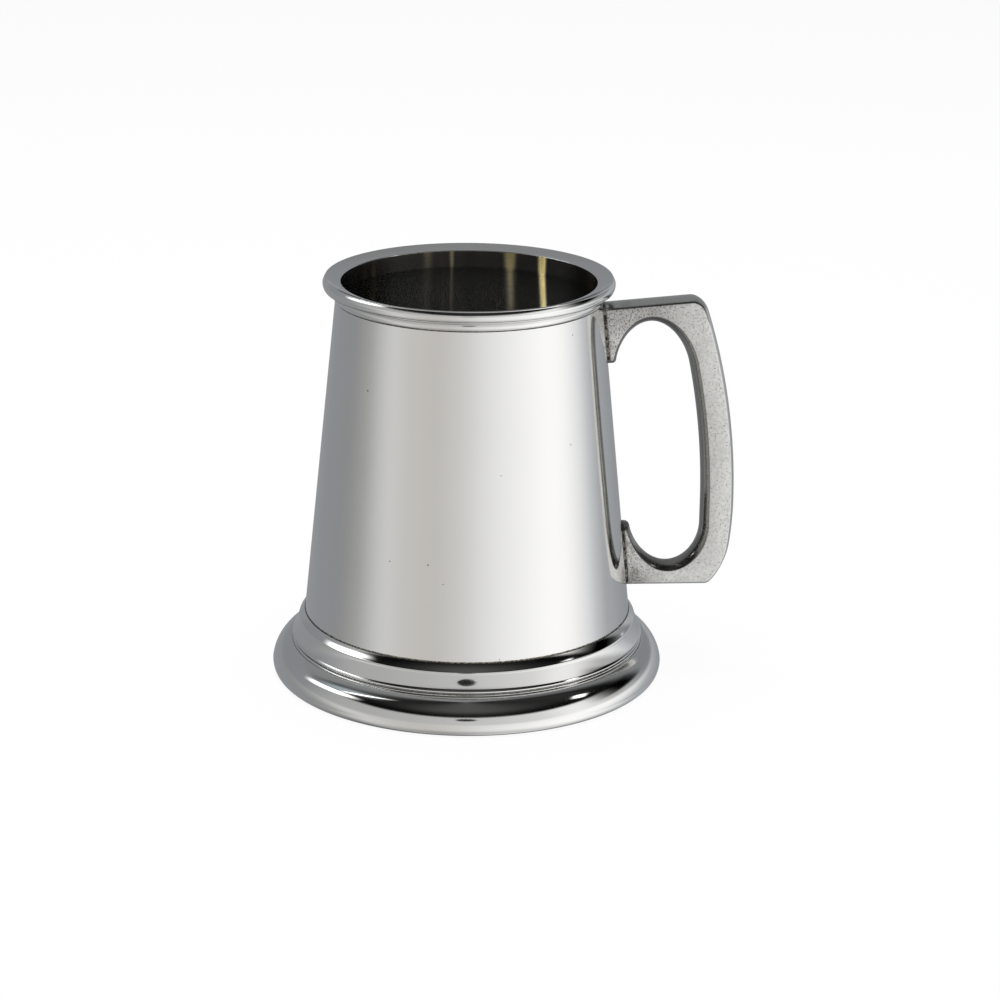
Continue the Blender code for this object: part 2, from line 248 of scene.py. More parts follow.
@dataclass(frozen=True)
class Graph:
    """Adds and joins the nodes of a material, a lamp or the world."""

    tree: bpy.types.NodeTree

    def add(self, kind: str, inputs: dict | None = None, **settings: object) -> bpy.types.Node:
        """Add a node.

        Args:
            kind: The node's type name, without its ShaderNode prefix.
            inputs: What its inputs are fed with, by their names or numbers.
            **settings: Properties to set on it.

        Returns:
            The new node.
        """
        node = self.tree.nodes.new("ShaderNode" + kind)
        for name, value in settings.items():
            setattr(node, name, value)
        for name, value in (inputs or {}).items():
            self.feed(node.inputs[name], value)
        return node

    def feed(self, target: Socket, value: object) -> None:
        """Join a socket to an input, or set the input to a plain value.

        Args:
            target: The input.
            value: A socket, a number, a vector or a colour.
        """
        if isinstance(value, bpy.types.NodeSocket):
            self.tree.links.new(value, target)
        elif target.type == "RGBA":
            target.default_value = (*value, 1.0)
        else:
            target.default_value = value

    def axes(self, vector: Socket) -> bpy.types.bpy_prop_collection:
        """The X, Y and Z of a vector."""
        return self.add("SeparateXYZ", {0: vector}).outputs

    def sum(self, operation: str, *numbers: object) -> Socket:
        """Work out a number from up to three others with a Math node's operation."""
        return self.add("Math", dict(enumerate(numbers)), operation=operation).outputs[0]

    def fold(self, operation: str, first: object, *others: object) -> object:
        """Work out one number from many, two at a time.

        Args:
            operation: Name of the Math node's operation.
            first: First number or socket.
            *others: The others, in order.

        Returns:
            The result.
        """
        for other in others:
            first = self.sum(operation, first, other)
        return first

    def apart(self, first: object, second: object) -> Socket:
        """How far apart two numbers are."""
        return self.sum("ABSOLUTE", self.sum("SUBTRACT", first, second))

    def ease(
        self, value: object, low: float, high: float, start: float = 0.0, end: float = 1.0
    ) -> Socket:
        """Turn a number smoothly from start to end as it goes from low to high."""
        inputs = {"Value": value, "From Min": low, "From Max": high, "To Min": start, "To Max": end}
        return self.add("MapRange", inputs, interpolation_type="SMOOTHSTEP").outputs["Result"]

    def fade(self, value: object, low: float, high: float, start: float = 1.0) -> Socket:
        """Turn a number smoothly from start to 0 as it goes from low to high."""
        return self.ease(value, low, high, start, 0.0)

    def mix(self, share: object, first: object, second: object, kind: Mixed = Mixed.COLOUR) -> Socket:
        """Mix two colours or vectors, with this share of the second."""
        data_type, one, two, result = kind.value
        return self.add("Mix", {0: share, one: first, two: second}, data_type=data_type).outputs[result]

    def ramp(self, value: Socket, stops: list[tuple[float, Colour]]) -> Socket:
        """Look up a colour on a smooth ramp.

        Args:
            value: Place on the ramp, from 0 to 1.
            stops: Places and colours, in order.

        Returns:
            The colour there.
        """
        node = self.add("ValToRGB", {0: value})
        ramp = node.color_ramp
        ramp.interpolation = "CARDINAL"
        while len(ramp.elements) < len(stops):
            ramp.elements.new(1.0)
        for element, (place, colour) in zip(ramp.elements, stops):
            element.position = place
            element.color = (*colour, 1.0)
        return node.outputs[0]

    def noise(self, vector: Socket, scale: float, detail: float = 2.0, roughness: float = 0.5) -> Socket:
        """Cloudy pattern about 0.5 in space, of this many clouds to a metre."""
        inputs = {"Vector": vector, "Scale": scale, "Detail": detail, "Roughness": roughness}
        return self.add("TexNoise", inputs).outputs["Fac"]

    def lines(self, place: Socket, scale: float, detail: float) -> Socket:
        """Pattern of fine lines about 0.5 that only changes along one number, such as a height."""
        inputs = {"W": place, "Scale": scale, "Detail": detail}
        return self.add("TexNoise", inputs, noise_dimensions="1D").outputs["Fac"]

    def specks(self, vector: Socket, scale: float, radius: float, share: float) -> Socket:
        """Small round spots, strewn at random.

        Args:
            vector: Coordinates in metres.
            scale: Places for a spot to a metre.
            radius: Size of a spot, as a share of the way between two places.
            share: Share of the places that has a spot.

        Returns:
            1 in a spot and 0 outside it.
        """
        cells = self.add("TexVoronoi", {"Vector": vector, "Scale": scale})
        draw = self.add("SeparateColor", {0: cells.outputs["Color"]})
        chosen = self.sum("LESS_THAN", draw.outputs[0], share)
        edge = radius * SPOT_EDGE
        size = self.sum("MULTIPLY_ADD", draw.outputs[1], radius, edge)
        inside = self.sum("SUBTRACT", size, cells.outputs["Distance"])
        return self.sum("MULTIPLY", self.ease(inside, 0.0, edge), chosen)

    def bump(self, height: Socket, depth: float, under: Socket | None = None) -> Socket:
        """Shallow relief.

        Args:
            height: Pattern to raise.
            depth: How high it stands, in metres.
            under: Relief that this one lies on.

        Returns:
            The surface's direction with the relief on it.
        """
        node = self.add("Bump", {"Strength": 1.0, "Distance": depth, "Height": height})
        if under is not None:
            self.feed(node.inputs["Normal"], under)
        return node.outputs["Normal"]

    def camera_sees(self, share: float, other: bpy.types.Node, seen: bpy.types.Node, output: str) -> None:
        """End the graph in one shader for the camera and another for everything else.

        Args:
            share: Share of its own shader that the camera sees.
            other: Shader that reflections and light see.
            seen: Shader that the camera sees.
            output: Type name of the output node, without its ShaderNode prefix.
        """
        eye = self.sum("MULTIPLY", self.add("LightPath").outputs["Is Camera Ray"], share)
        either = self.add("MixShader", {0: eye, 1: other.outputs[0], 2: seen.outputs[0]})
        self.add(output, {0: either.outputs[0]})


def node_material(name: str) -> tuple[bpy.types.Material, Graph, bpy.types.Node]:
    """Start a material.

    Args:
        name: The material's name.

    Returns:
        The material, its graph and its shader.
    """
    material = bpy.data.materials.new(name)
    material.use_nodes = True
    return material, Graph(material.node_tree), material.node_tree.nodes["Principled BSDF"]


@dataclass(frozen=True)
class Finish:
    """A finish of the mug's metal."""

    name: str
    cone: BarrelCone
    colour: Colour
    roughness: float
    tarnish: Colour = (0.045, 0.038, 0.030)
    dirt_and_shade_colour: float = 0.85
    dirt_and_shade_roughness: float = 0.30

    def material(self) -> bpy.types.Material:
        """Make the finish's material.

        Returns:
            A metal with this finish's pattern on it.
        """
        material, graph, shader = node_material(self.name)
        graph.feed(shader.inputs["Metallic"], 1.0)
        here = graph.add("TexCoord").outputs["Object"]
        where = graph.add("Mapping", {"Location": -self.cone.stand, "Vector": here})
        colour, roughness, normal = self.pattern(graph, where.outputs[0])
        graph.feed(shader.inputs["Base Color"], colour)
        graph.feed(shader.inputs["Roughness"], roughness)
        graph.feed(shader.inputs["Normal"], normal)
        return material

    def pattern(self, graph: Graph, place: Socket) -> tuple[Socket, Socket, Socket]:
        """Build the colour, roughness and surface direction from metres off the mug's axis."""
        raise NotImplementedError

    def shade(self, level: float) -> Colour:
        """The finish's colour at another level of brightness."""
        return tuple(channel * level for channel in self.colour)

    def sheen(
        self, graph: Graph, cloud: Socket, low: float, high: float, start: float, end: float
    ) -> Socket:
        """Roughness that goes from start to end, as shares of the finish's own, with a pattern."""
        return graph.ease(cloud, low, high, self.roughness * start, self.roughness * end)

    def soil(self, graph: Graph, dirt_and_shade: Socket, tone: Socket, sheen: Socket) -> tuple[Socket, Socket]:
        """Colour and roughness with dirt and painted shade, from 0 to 1, on metal of a clean tone and
        sheen.
        """
        colour = graph.mix(graph.sum("MULTIPLY", dirt_and_shade, self.dirt_and_shade_colour), tone, self.tarnish)
        return colour, graph.sum("MULTIPLY_ADD", dirt_and_shade, self.dirt_and_shade_roughness, sheen)

    def turned(self, graph: Graph, place: Socket) -> Socket:
        """A number that changes up a wall and across a disc, as a turning tool moves.

        Args:
            graph: Where the nodes go.
            place: Coordinates from the mug's axis.

        Returns:
            Height and radius together, in metres.
        """
        flat = graph.add("VectorMath", {0: place, 1: (1.0, 1.0, 0.0)}, operation="MULTIPLY")
        radius = graph.add("VectorMath", {0: flat.outputs["Vector"]}, operation="LENGTH")
        return graph.sum("ADD", graph.axes(place)["Z"], radius.outputs["Value"])

    def wall_distance(self, graph: Graph, place: Socket) -> Socket:
        """How far a place under the handle lies outside the barrel's wall.

        Args:
            graph: Where the nodes go.
            place: Coordinates from the mug's axis.

        Returns:
            The distance in metres.
        """
        axes = graph.axes(place)
        reach = graph.sum("MULTIPLY_ADD", axes["Z"], self.cone.taper, axes["X"])
        return graph.sum("SUBTRACT", reach, self.cone.radius(0.0))


@dataclass(frozen=True)
class PolishedPewter(Finish):
    """Buffed outside of the barrel, rim and foot, with tarnish left along its seams."""

    seams: tuple[Pair, ...] = ()
    handle_feet: tuple[Pair, ...] = ()
    handle_half: float = 0.0043
    turning: Clouds = (2600.0, 3.0)
    turning_depth: float = 0.0000012
    haze: Clouds = (60.0, 3.0)
    haze_tone: float = 0.015
    haze_sheen: Easing = (0.35, 0.65, 0.8, 1.25)
    grain: Clouds = (1500.0, 3.0, 0.6)
    spots: Spots = (190.0, 0.045, 0.22)
    seam_edge: Easing = (1.0, 1.25)
    stain_side: float = 0.0011
    stain_end: float = 0.0015
    stain_edge: Easing = (0.95, 1.40, 0.0, 0.8)

    def pattern(self, graph: Graph, place: Socket) -> tuple[Socket, Socket, Socket]:
        """Build faint turning lines, specks and tarnish.

        Args:
            graph: Where the nodes go.
            place: Coordinates from the mug's axis.

        Returns:
            Colour, roughness and surface direction.
        """
        axes = graph.axes(place)
        haze = graph.noise(place, *self.haze)
        grain = graph.noise(place, *self.grain)
        stains = [graph.specks(place, *self.spots)]
        for seam, reach in self.seams:
            near = graph.fade(graph.apart(axes["Z"], seam), 0.0, reach)
            stains.append(graph.ease(graph.sum("ADD", near, grain), *self.seam_edge))
        for low, high in self.handle_feet:
            stains.append(self._foot_stain(graph, axes, grain, low, high))
        tone = graph.mix(haze, self.shade(1.0 - self.haze_tone), self.shade(1.0 + self.haze_tone))
        sheen = self.sheen(graph, haze, *self.haze_sheen)
        colour, roughness = self.soil(graph, graph.fold("MAXIMUM", *stains), tone, sheen)
        turning = graph.lines(self.turned(graph, place), *self.turning)
        return colour, roughness, graph.bump(turning, self.turning_depth)

    def _foot_stain(
        self, graph: Graph, axes: bpy.types.bpy_prop_collection, grain: Socket, low: float, high: float
    ) -> Socket:
        """Tarnish on the barrel beside one of the handle's feet.

        Args:
            graph: Where the nodes go.
            axes: Coordinates from the mug's axis.
            grain: Fine pattern that breaks the stain up.
            low: Height of the foot's lower end.
            high: Height of its upper end.

        Returns:
            How much tarnish there is, from 0 to 1.
        """
        beside = graph.sum("ABSOLUTE", axes["Y"])
        across = graph.fade(beside, self.handle_half, self.handle_half + self.stain_side)
        above = graph.ease(axes["Z"], low - self.stain_end, low)
        below = graph.fade(axes["Z"], high, high + self.stain_end)
        facing = graph.sum("GREATER_THAN", axes["X"], 0.0)
        patch = graph.fold("MULTIPLY", above, below, facing, across)
        return graph.ease(graph.sum("ADD", patch, grain), *self.stain_edge)


@dataclass(frozen=True)
class SpunPewter(Finish):
    """Inside of the mug, left as it was spun, with painted highlights (a few golden streaks down its
    wall) and painted shade near the mouth.

    A painted highlight is its angle from +X and its half width, both in degrees, and its strength.
    """

    # Painted highlight: the golden colour of the streaks that stand in for reflections inside the mug.
    painted_highlight_colour: Colour = (1.0, 0.81, 0.33)
    painted_highlight_roughness: float = 0.26
    painted_highlight_flank: float = math.tan(math.radians(43.0))
    painted_highlight_breaks: Easing = (0.25, 0.60, 0.80, 1.0)
    stretch: float = 0.95
    stretch_turn: float = 0.25
    turning: Clouds = (1700.0, 4.0)
    turning_depth: float = 0.0000015
    # Painted shade: the wall goes over to the tarnish colour between these heights, up to the mouth.
    painted_mouth_shade_height: Easing = (0.102, 0.119)
    painted_mouth_shade: float = 0.92
    painted_highlights: tuple[tuple[float, float, float], ...] = (
        (49.3, 3.3, 1.0),
        (66.0, 4.4, 0.42),
        (93.5, 1.7, 0.20),
        (105.0, 3.5, 0.10),
        (228.0, 3.0, 0.40),
        (301.0, 4.0, 0.30),
    )

    def pattern(self, graph: Graph, place: Socket) -> tuple[Socket, Socket, Socket]:
        """Build turning lines, painted highlights as golden streaks down the wall, and painted shade near
        the mouth.

        Args:
            graph: Where the nodes go.
            place: Coordinates from the mug's axis.

        Returns:
            Colour, roughness and surface direction.
        """
        height = graph.axes(place)["Z"]
        turning = graph.lines(self.turned(graph, place), *self.turning)
        about = graph.add("TexGradient", {0: place}, gradient_type="RADIAL").outputs["Fac"]
        # Painted highlights: golden bands of colour at fixed angles, with their normals tilted, stand in
        # for reflections down the wall.
        painted_highlight_bands = []
        for angle, half_width, strength in self.painted_highlights:
            away = graph.apart(about, (angle + 180.0) % 360.0 / 360.0)
            painted_highlight_bands.append(graph.fade(away, 0.0, half_width / 360.0, strength))
        share = graph.fold("MAXIMUM", 0.0, *painted_highlight_bands)
        share = graph.sum("MULTIPLY", share, graph.ease(turning, *self.painted_highlight_breaks))
        # Painted shade: the wall is darkened towards the tarnish colour near the mouth.
        mouth_shade = graph.ease(height, *self.painted_mouth_shade_height, 0.0, self.painted_mouth_shade)
        colour = graph.mix(share, graph.mix(mouth_shade, self.colour, self.tarnish), self.painted_highlight_colour)
        rougher = self.painted_highlight_roughness - self.roughness
        roughness = graph.sum("MULTIPLY_ADD", share, rougher, self.roughness)
        smooth = graph.bump(turning, self.turning_depth)
        flank = graph.bump(graph.sum("MULTIPLY", height, -1.0), self.painted_highlight_flank, smooth)
        self._brush(graph)
        return colour, roughness, graph.mix(share, smooth, flank, Mixed.VECTOR)

    def _brush(self, graph: Graph) -> None:
        """Let the turning lines draw each reflection out up and down the wall.

        Args:
            graph: Where the nodes go.
        """
        shader = graph.tree.nodes["Principled BSDF"]
        graph.feed(shader.inputs["Anisotropic"], self.stretch)
        graph.feed(shader.inputs["Anisotropic Rotation"], self.stretch_turn)
        tangent = graph.add("Tangent", direction_type="RADIAL", axis="Z")
        graph.feed(shader.inputs["Tangent"], tangent.outputs[0])


@dataclass(frozen=True)
class CastPewter(Finish):
    """Cast handle, satin on its flat sides and buffed where a hand closes round it."""

    dirt_and_shade_colour: float = 0.9
    dirt_and_shade_roughness: float = 0.25
    half: float = 0.0043
    cloud: Clouds = (170.0, 4.0, 0.6)
    grain: Clouds = (2100.0, 4.0, 0.65)
    grain_sheen: Easing = (0.3, 0.7, 0.85, 1.2)
    grain_depth: float = 0.00003
    mottle: Clouds = (900.0, 2.0)
    mottle_fine: float = 0.6
    mottle_edge: Easing = (0.38, 0.60)
    mottling: float = 0.06
    mottle_dark: float = 1.5
    pits: float = 0.5
    pit_depth: float = 0.00008
    crowd: Clouds = (75.0, 2.0)
    crowd_edge: Easing = (0.30, 0.60, 0.5, 1.0)
    crowd_height: Easing = (0.088, 0.104)
    crowd_least: float = 0.22
    crowd_root: Easing = (0.001, 0.012, 0.8, 0.0)
    crowding: float = 0.10
    flecks: Clouds = (2100.0, 2.0, 0.6)
    fleck_edge: Easing = (0.615, 0.705, 0.0, 0.9)
    spots: Spots = (560.0, 0.13, 0.25)
    scratches: Spots = (420.0, 0.07, 0.05)
    scratch_squeeze: float = 0.25
    arm: Easing = (0.053, 0.067, 1.0, 0.0)
    arm_smoke: Easing = (0.0985, 0.1070, 0.0, 0.42)
    root_stain: Easing = (0.0003, 0.0012, 1.0, 0.0)
    root_smoke: Easing = (0.0005, 0.0120, 0.70, 0.0)
    smoke_edge: Easing = (0.40, 0.65)
    soot_height: Easing = (0.026, 0.036, 0.40, 0.0)
    soot_reach: Easing = (0.002, 0.014, 1.0, 0.0)
    # Painted shade along the edges of the crowned faces: how dark, how wide, how soft, and from what
    # height it starts.
    painted_edge_shade: float = 0.0
    painted_edge_shade_width: float = 0.0003
    painted_edge_shade_soft: float = 0.0006
    painted_edge_shade_from: float = 0.104
    painted_edge_shade_rise: float = 0.004
    stain_and_shade_breaks: Easing = (0.30, 0.55, 0.55, 1.0)

    def pattern(self, graph: Graph, place: Socket) -> tuple[Socket, Socket, Socket]:
        """Build casting grain, pits, and solder tarnish by the barrel.

        Args:
            graph: Where the nodes go.
            place: Coordinates from the mug's axis.

        Returns:
            Colour, roughness and surface direction.
        """
        cloud = graph.noise(place, *self.cloud)
        grain = graph.noise(place, *self.grain)
        pits = self._pits(graph, place)
        # Tarnish and pits, with painted shade along the crowned faces' edges.
        dirt_and_shade = graph.sum("MAXIMUM", self._stain_and_shade(graph, place, cloud, grain), pits)
        coarse = graph.sum("MULTIPLY", cloud, 1.0 - self.mottle_fine)
        fine = graph.noise(place, *self.mottle)
        mottle = graph.sum("MULTIPLY_ADD", fine, self.mottle_fine, coarse)
        dark, light = self.shade(1.0 - self.mottling * self.mottle_dark), self.shade(1.0 + self.mottling)
        tone = graph.mix(graph.ease(mottle, *self.mottle_edge), dark, light)
        colour, roughness = self.soil(graph, dirt_and_shade, tone, self.sheen(graph, grain, *self.grain_sheen))
        hollow = graph.sum("MULTIPLY", pits, -1.0)
        normal = graph.bump(hollow, self.pit_depth, graph.bump(grain, self.grain_depth))
        return colour, roughness, normal

    def _pits(self, graph: Graph, place: Socket) -> Socket:
        """Pits of the casting, which crowd on the upper arm and by the barrel.

        Args:
            graph: Where the nodes go.
            place: Coordinates from the mug's axis.

        Returns:
            How deep a pit is, from 0 to 1.
        """
        axes = graph.axes(place)
        arm, upper = graph.ease(axes["X"], *self.arm), graph.ease(axes["Z"], *self.crowd_height)
        upper = graph.sum("MULTIPLY", arm, upper)
        crowd = graph.ease(graph.noise(place, *self.crowd), *self.crowd_edge)
        crowd = graph.sum("MULTIPLY", crowd, graph.sum("MAXIMUM", upper, self.crowd_least))
        root = graph.ease(self.wall_distance(graph, place), *self.crowd_root)
        crowd = graph.sum("MAXIMUM", crowd, root)
        flecks = graph.sum("MULTIPLY_ADD", crowd, self.crowding, graph.noise(place, *self.flecks))
        fine = graph.ease(flecks, *self.fleck_edge)
        coarse = graph.sum("MULTIPLY", graph.specks(place, *self.spots), crowd)
        drawn = graph.add("Mapping", {"Vector": place, "Scale": (self.scratch_squeeze, 1.0, 1.0)})
        scratches = graph.specks(drawn.outputs[0], *self.scratches)
        return graph.sum("MULTIPLY", graph.fold("MAXIMUM", coarse, fine, scratches), self.pits)

    def _stain_and_shade(self, graph: Graph, place: Socket, cloud: Socket, grain: Socket) -> Socket:
        """Tarnish by the barrel and on the upper arm, and painted shade along the edges of the crowned
        faces.

        Args:
            graph: Where the nodes go.
            place: Coordinates from the mug's axis.
            cloud: Pattern that breaks the smoke up.
            grain: Fine pattern that breaks all of it up.

        Returns:
            How much tarnish and painted shade there is, from 0 to 1.
        """
        axes = graph.axes(place)
        away = self.wall_distance(graph, place)
        root = graph.ease(away, *self.root_stain)
        smoke = graph.ease(away, *self.root_smoke)
        smoke = graph.sum("MULTIPLY", smoke, graph.ease(cloud, *self.smoke_edge))
        arm, upper = graph.ease(axes["X"], *self.arm), graph.ease(axes["Z"], *self.arm_smoke)
        arm = graph.fold("MULTIPLY", arm, upper, self.pits)
        soot = graph.ease(axes["Z"], *self.soot_height)
        soot = graph.sum("MULTIPLY", soot, graph.ease(away, *self.soot_reach))
        # Painted shade: darker towards the edges of a crowned face, above a height.
        edge = self.half - self.painted_edge_shade_width
        beside = graph.sum("ABSOLUTE", axes["Y"])
        painted_edge_shade = graph.ease(beside, edge - self.painted_edge_shade_soft, edge, 0.0, self.painted_edge_shade)
        above = graph.ease(axes["Z"], self.painted_edge_shade_from, self.painted_edge_shade_from + self.painted_edge_shade_rise)
        painted_edge_shade = graph.sum("MULTIPLY", painted_edge_shade, above)
        stain_and_shade = graph.fold("MAXIMUM", root, smoke, arm, soot, painted_edge_shade)
        return graph.sum("MULTIPLY", stain_and_shade, graph.ease(grain, *self.stain_and_shade_breaks))


@dataclass(frozen=True)
class TarnishedSolder(Finish):
    """Lumpy solder that has gone dull and brown."""

    beads: Clouds = (1100.0, 3.0, 0.6)
    bead_depth: float = 0.00012
    bead_edge: Easing = (0.40, 0.62)
    bead_sheen: Easing = (0.35, 0.65, 1.3, 0.8)

    def pattern(self, graph: Graph, place: Socket) -> tuple[Socket, Socket, Socket]:
        """Build beads of solder and dark flux between them.

        Args:
            graph: Where the nodes go.
            place: Coordinates from the mug's axis.

        Returns:
            Colour, roughness and surface direction.
        """
        beads = graph.noise(place, *self.beads)
        colour = graph.mix(graph.ease(beads, *self.bead_edge), self.tarnish, self.colour)
        sheen = self.sheen(graph, beads, *self.bead_sheen)
        return colour, sheen, graph.bump(beads, self.bead_depth)


@dataclass(frozen=True)
class Workshop:
    """Makes finished pieces: an object at the origin that rides on the mug and replaces its nodes."""

    cone: BarrelCone

    def turn(self, profile: list[Vector], bored: bool = False) -> bmesh.types.BMesh:
        """Turn a closed outline about the mug's axis.

        Args:
            profile: Points of the outline, as radius and height.
            bored: Whether its bore has a second finish.

        Returns:
            The turned ring, closed and facing outwards, about the axis at x = 0.
        """
        shape = bmesh.new()
        corners = [shape.verts.new((point.x, 0.0, point.y)) for point in profile]
        sides = [shape.edges.new(pair) for pair in zip(corners, corners[1:] + corners[:1])]
        bmesh.ops.spin(
            shape,
            geom=corners + sides,
            cent=(0.0, 0.0, 0.0),
            axis=(0.0, 0.0, 1.0),
            angle=math.tau,
            steps=TURN_STEPS,
            use_merge=True,
        )
        bmesh.ops.remove_doubles(shape, verts=shape.verts, dist=WELD)
        bmesh.ops.recalc_face_normals(shape, faces=shape.faces)
        if bored:
            self.mark_bore(shape)
        return shape

    def mark_bore(self, shape: bmesh.types.BMesh) -> None:
        """Give the upright faces that look at the mug's axis a turned ring's second finish.

        Args:
            shape: The ring, about the axis at x = 0.
        """
        for face in shape.faces:
            middle = face.calc_center_median()
            outward = Vector((middle.x, middle.y, 0.0)).normalized()
            if face.normal.dot(outward) < BORE_FACING:
                face.material_index = 1

    def finish(
        self, name: str, shape: bmesh.types.BMesh, finishes: list[Finish], slot: Slot, nodes: list[str]
    ) -> None:
        """Make a shape a piece of the mug.

        Args:
            name: The piece's name.
            shape: Its shape about the axis at x = 0, which is used up.
            finishes: Its finishes, in the order of its faces' material numbers.
            slot: The record's material slot for the piece; not used.
            nodes: CAD nodes that it stands for.
        """
        bmesh.ops.translate(shape, verts=shape.verts, vec=self.cone.stand)
        mesh = mesh_of(name, shape, [finish.material() for finish in finishes])
        mesh.shade_smooth()
        mesh.set_sharp_from_angle(angle=SHARP_ANGLE)
        piece = add_object(name, mesh)
        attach(piece, BODY)
        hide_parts(*nodes)
        LOG.info("%s: %d faces, stands for %s", name, len(mesh.polygons), ", ".join(nodes))


@dataclass(frozen=True)
class Barrel:
    """Tapered wall of the mug, with a thinner tail inside the foot."""

    cone: BarrelCone
    wall: float = 0.0016
    seat: float = 0.0007
    tail: float = 0.00725
    edge: float = 0.00010
    top_gap: float = 0.00012

    def profile(self) -> list[Vector]:
        """Outline of the wall, down its outside and up its inside.

        Returns:
            The outline's points.
        """
        top, shoulder = self.cone.high - self.top_gap, self.cone.low
        insets = (
            (top, self.edge),
            (top - self.edge, 0.0),
            (shoulder + self.edge, 0.0),
            (shoulder, self.edge),
            (shoulder, self.seat),
            (self.tail, self.seat),
            (self.tail, self.wall),
            (self.cone.high + self.top_gap, self.wall),
        )
        return [Vector((self.cone.radius(height) - inset, height)) for height, inset in insets]

    def build(self, shop: Workshop, outside: Finish, inside: Finish) -> None:
        """Turn the barrel and finish its two sides."""
        shape = shop.turn(self.profile(), bored=True)
        shop.finish("barrel_wall", shape, [outside, inside], Slot.POLISHED, ["barrel"])


@dataclass(frozen=True)
class Rim:
    """Turned ring on the barrel: a dished lip over a hollow and a bead."""

    cone: BarrelCone
    mouth_radius: float = 0.03715
    mouth_round: float = 0.00032
    seam_gap: float = 0.00012
    bead_height: float = 0.0018
    bead_radius: float = 0.0392
    bead_taper: float = 0.0002
    bead_bulge: float = 0.00024
    hollow_height: float = 0.00145
    hollow_sink: float = 0.00042
    hollow_step: float = 0.00005
    lip_under: float = 0.04205
    lip_step: float = 0.0001
    lip_radius: float = 0.04240
    lip_side: float = 0.00135
    lip_bulge: float = 0.00010
    brow_start: Point = (0.04178, 0.11966)
    brow_end: Point = (0.04231, 0.11862)
    brow_bulge: float = 0.00003
    brow_turn: float = 0.0002
    crest_radius: float = 0.0415
    crest: float = 0.1199
    dish: float = 0.00125
    dish_sink: float = 0.00018

    def profile(self) -> list[Vector]:
        """Outline of the rim, down its outside and up its bore.

        Returns:
            The outline's points.
        """
        low = self.cone.high + self.seam_gap
        neck = low + self.bead_height
        lip_low = neck + self.hollow_height
        crest = Vector((self.crest_radius, self.crest))
        widest = Vector((self.lip_radius, lip_low + self.lip_side))
        mouth = self.crest - self.dish
        inner = Vector((self.mouth_radius + self.mouth_round, mouth))
        bore = Vector((self.mouth_radius, mouth - self.mouth_round))
        under = (self.lip_under - self.lip_step, lip_low - self.hollow_step)
        bead_top = (self.bead_radius, neck - self.hollow_step)
        bead_low = (self.bead_radius - self.bead_taper, low)
        brow_top = Vector((self.brow_start[0], self.crest))
        brow_side = Vector((self.lip_radius, self.brow_end[1] - self.brow_turn))

        lip = swept_corner(crest, brow_top, Vector(self.brow_start), steps=5)
        brow = bow(self.brow_start, self.brow_end, self.brow_bulge, steps=5)
        turn = swept_corner(brow[-1], brow_side, widest, steps=5)
        side = bow(widest, (self.lip_under, lip_low), self.lip_bulge, steps=6)
        hollow = bow(under, (self.bead_radius, neck), -self.hollow_sink, steps=10)
        bead = bow(bead_top, bead_low, self.bead_bulge, steps=12)
        floor = [Vector((self.mouth_radius, low))]
        eased = swept_corner(bore, Vector((self.mouth_radius, mouth)), inner, steps=5)
        top = bow(inner, crest, -self.dish_sink, steps=8)
        return lip + brow[1:] + turn[1:] + side[1:] + hollow + bead + floor + eased + top[1:-1]

    def build(self, shop: Workshop, outside: Finish, inside: Finish) -> None:
        """Turn the rim and finish its mouldings and its bore."""
        shape = shop.turn(self.profile(), bored=True)
        shop.finish("rim_ring", shape, [outside, inside], Slot.POLISHED, ["rim"])


@dataclass(frozen=True)
class Moulding:
    """One arc of a turned outline: where it ends, how far it bows out and its number of pieces."""

    end: Point
    bulge: float
    steps: int


@dataclass(frozen=True)
class Foot:
    """Turned hollow foot: a flared collar, a quirk and a wide rounded skirt."""

    cone: BarrelCone
    top: float = 0.01866
    proud: float = 0.00015
    cove: Moulding = Moulding((0.05022, 0.01650), -0.00006, 10)
    arris: Moulding = Moulding((0.05044, 0.01584), 0.00003, 8)
    flare: Moulding = Moulding((0.05206, 0.01188), -0.00009, 16)
    collar_lip: Moulding = Moulding((0.05230, 0.01158), -0.00001, 2)
    collar_edge: Moulding = Moulding((0.05228, 0.01092), 0.00018, 8)
    quirk: Moulding = Moulding((0.05240, 0.00975), -0.00030, 8)
    brow: Moulding = Moulding((0.05360, 0.00958), 0.00016, 5)
    skirt: Moulding = Moulding((0.05835, 0.00270), 0.00100, 22)
    standing_outer: float = 0.05700
    standing_inner: float = 0.05396
    hollow_radius: float = 0.05326
    hollow_top: float = 0.00595
    bore_bottom: float = 0.00785
    bore_inset: float = 0.0004

    def profile(self) -> list[Vector]:
        """Outline of the foot, down its outside and up its hollow.

        Returns:
            The outline's points.
        """
        collar = (self.cove, self.arris, self.flare, self.collar_lip, self.collar_edge)
        start = (self.cone.radius(self.top) + self.proud, self.top)
        outline = [Vector(start)]
        for part in (*collar, self.quirk, self.brow, self.skirt):
            outline += bow(start, part.end, part.bulge, part.steps)[1:]
            start = part.end
        belly = Vector(self.skirt.end)
        standing = Vector((self.standing_outer, 0.0))
        outline += swept_corner(belly, Vector((belly.x, 0.0)), standing, steps=9)[1:]
        return outline + [
            Vector((self.standing_inner, 0.0)),
            Vector((self.hollow_radius, self.hollow_top)),
            Vector((self.cone.radius(self.bore_bottom) - self.bore_inset, self.bore_bottom)),
            Vector((self.cone.radius(self.top) - self.bore_inset, self.top)),
        ]

    def build(self, shop: Workshop, outside: Finish) -> None:
        """Turn the foot."""
        shop.finish("foot_ring", shop.turn(self.profile()), [outside], Slot.POLISHED, ["foot"])


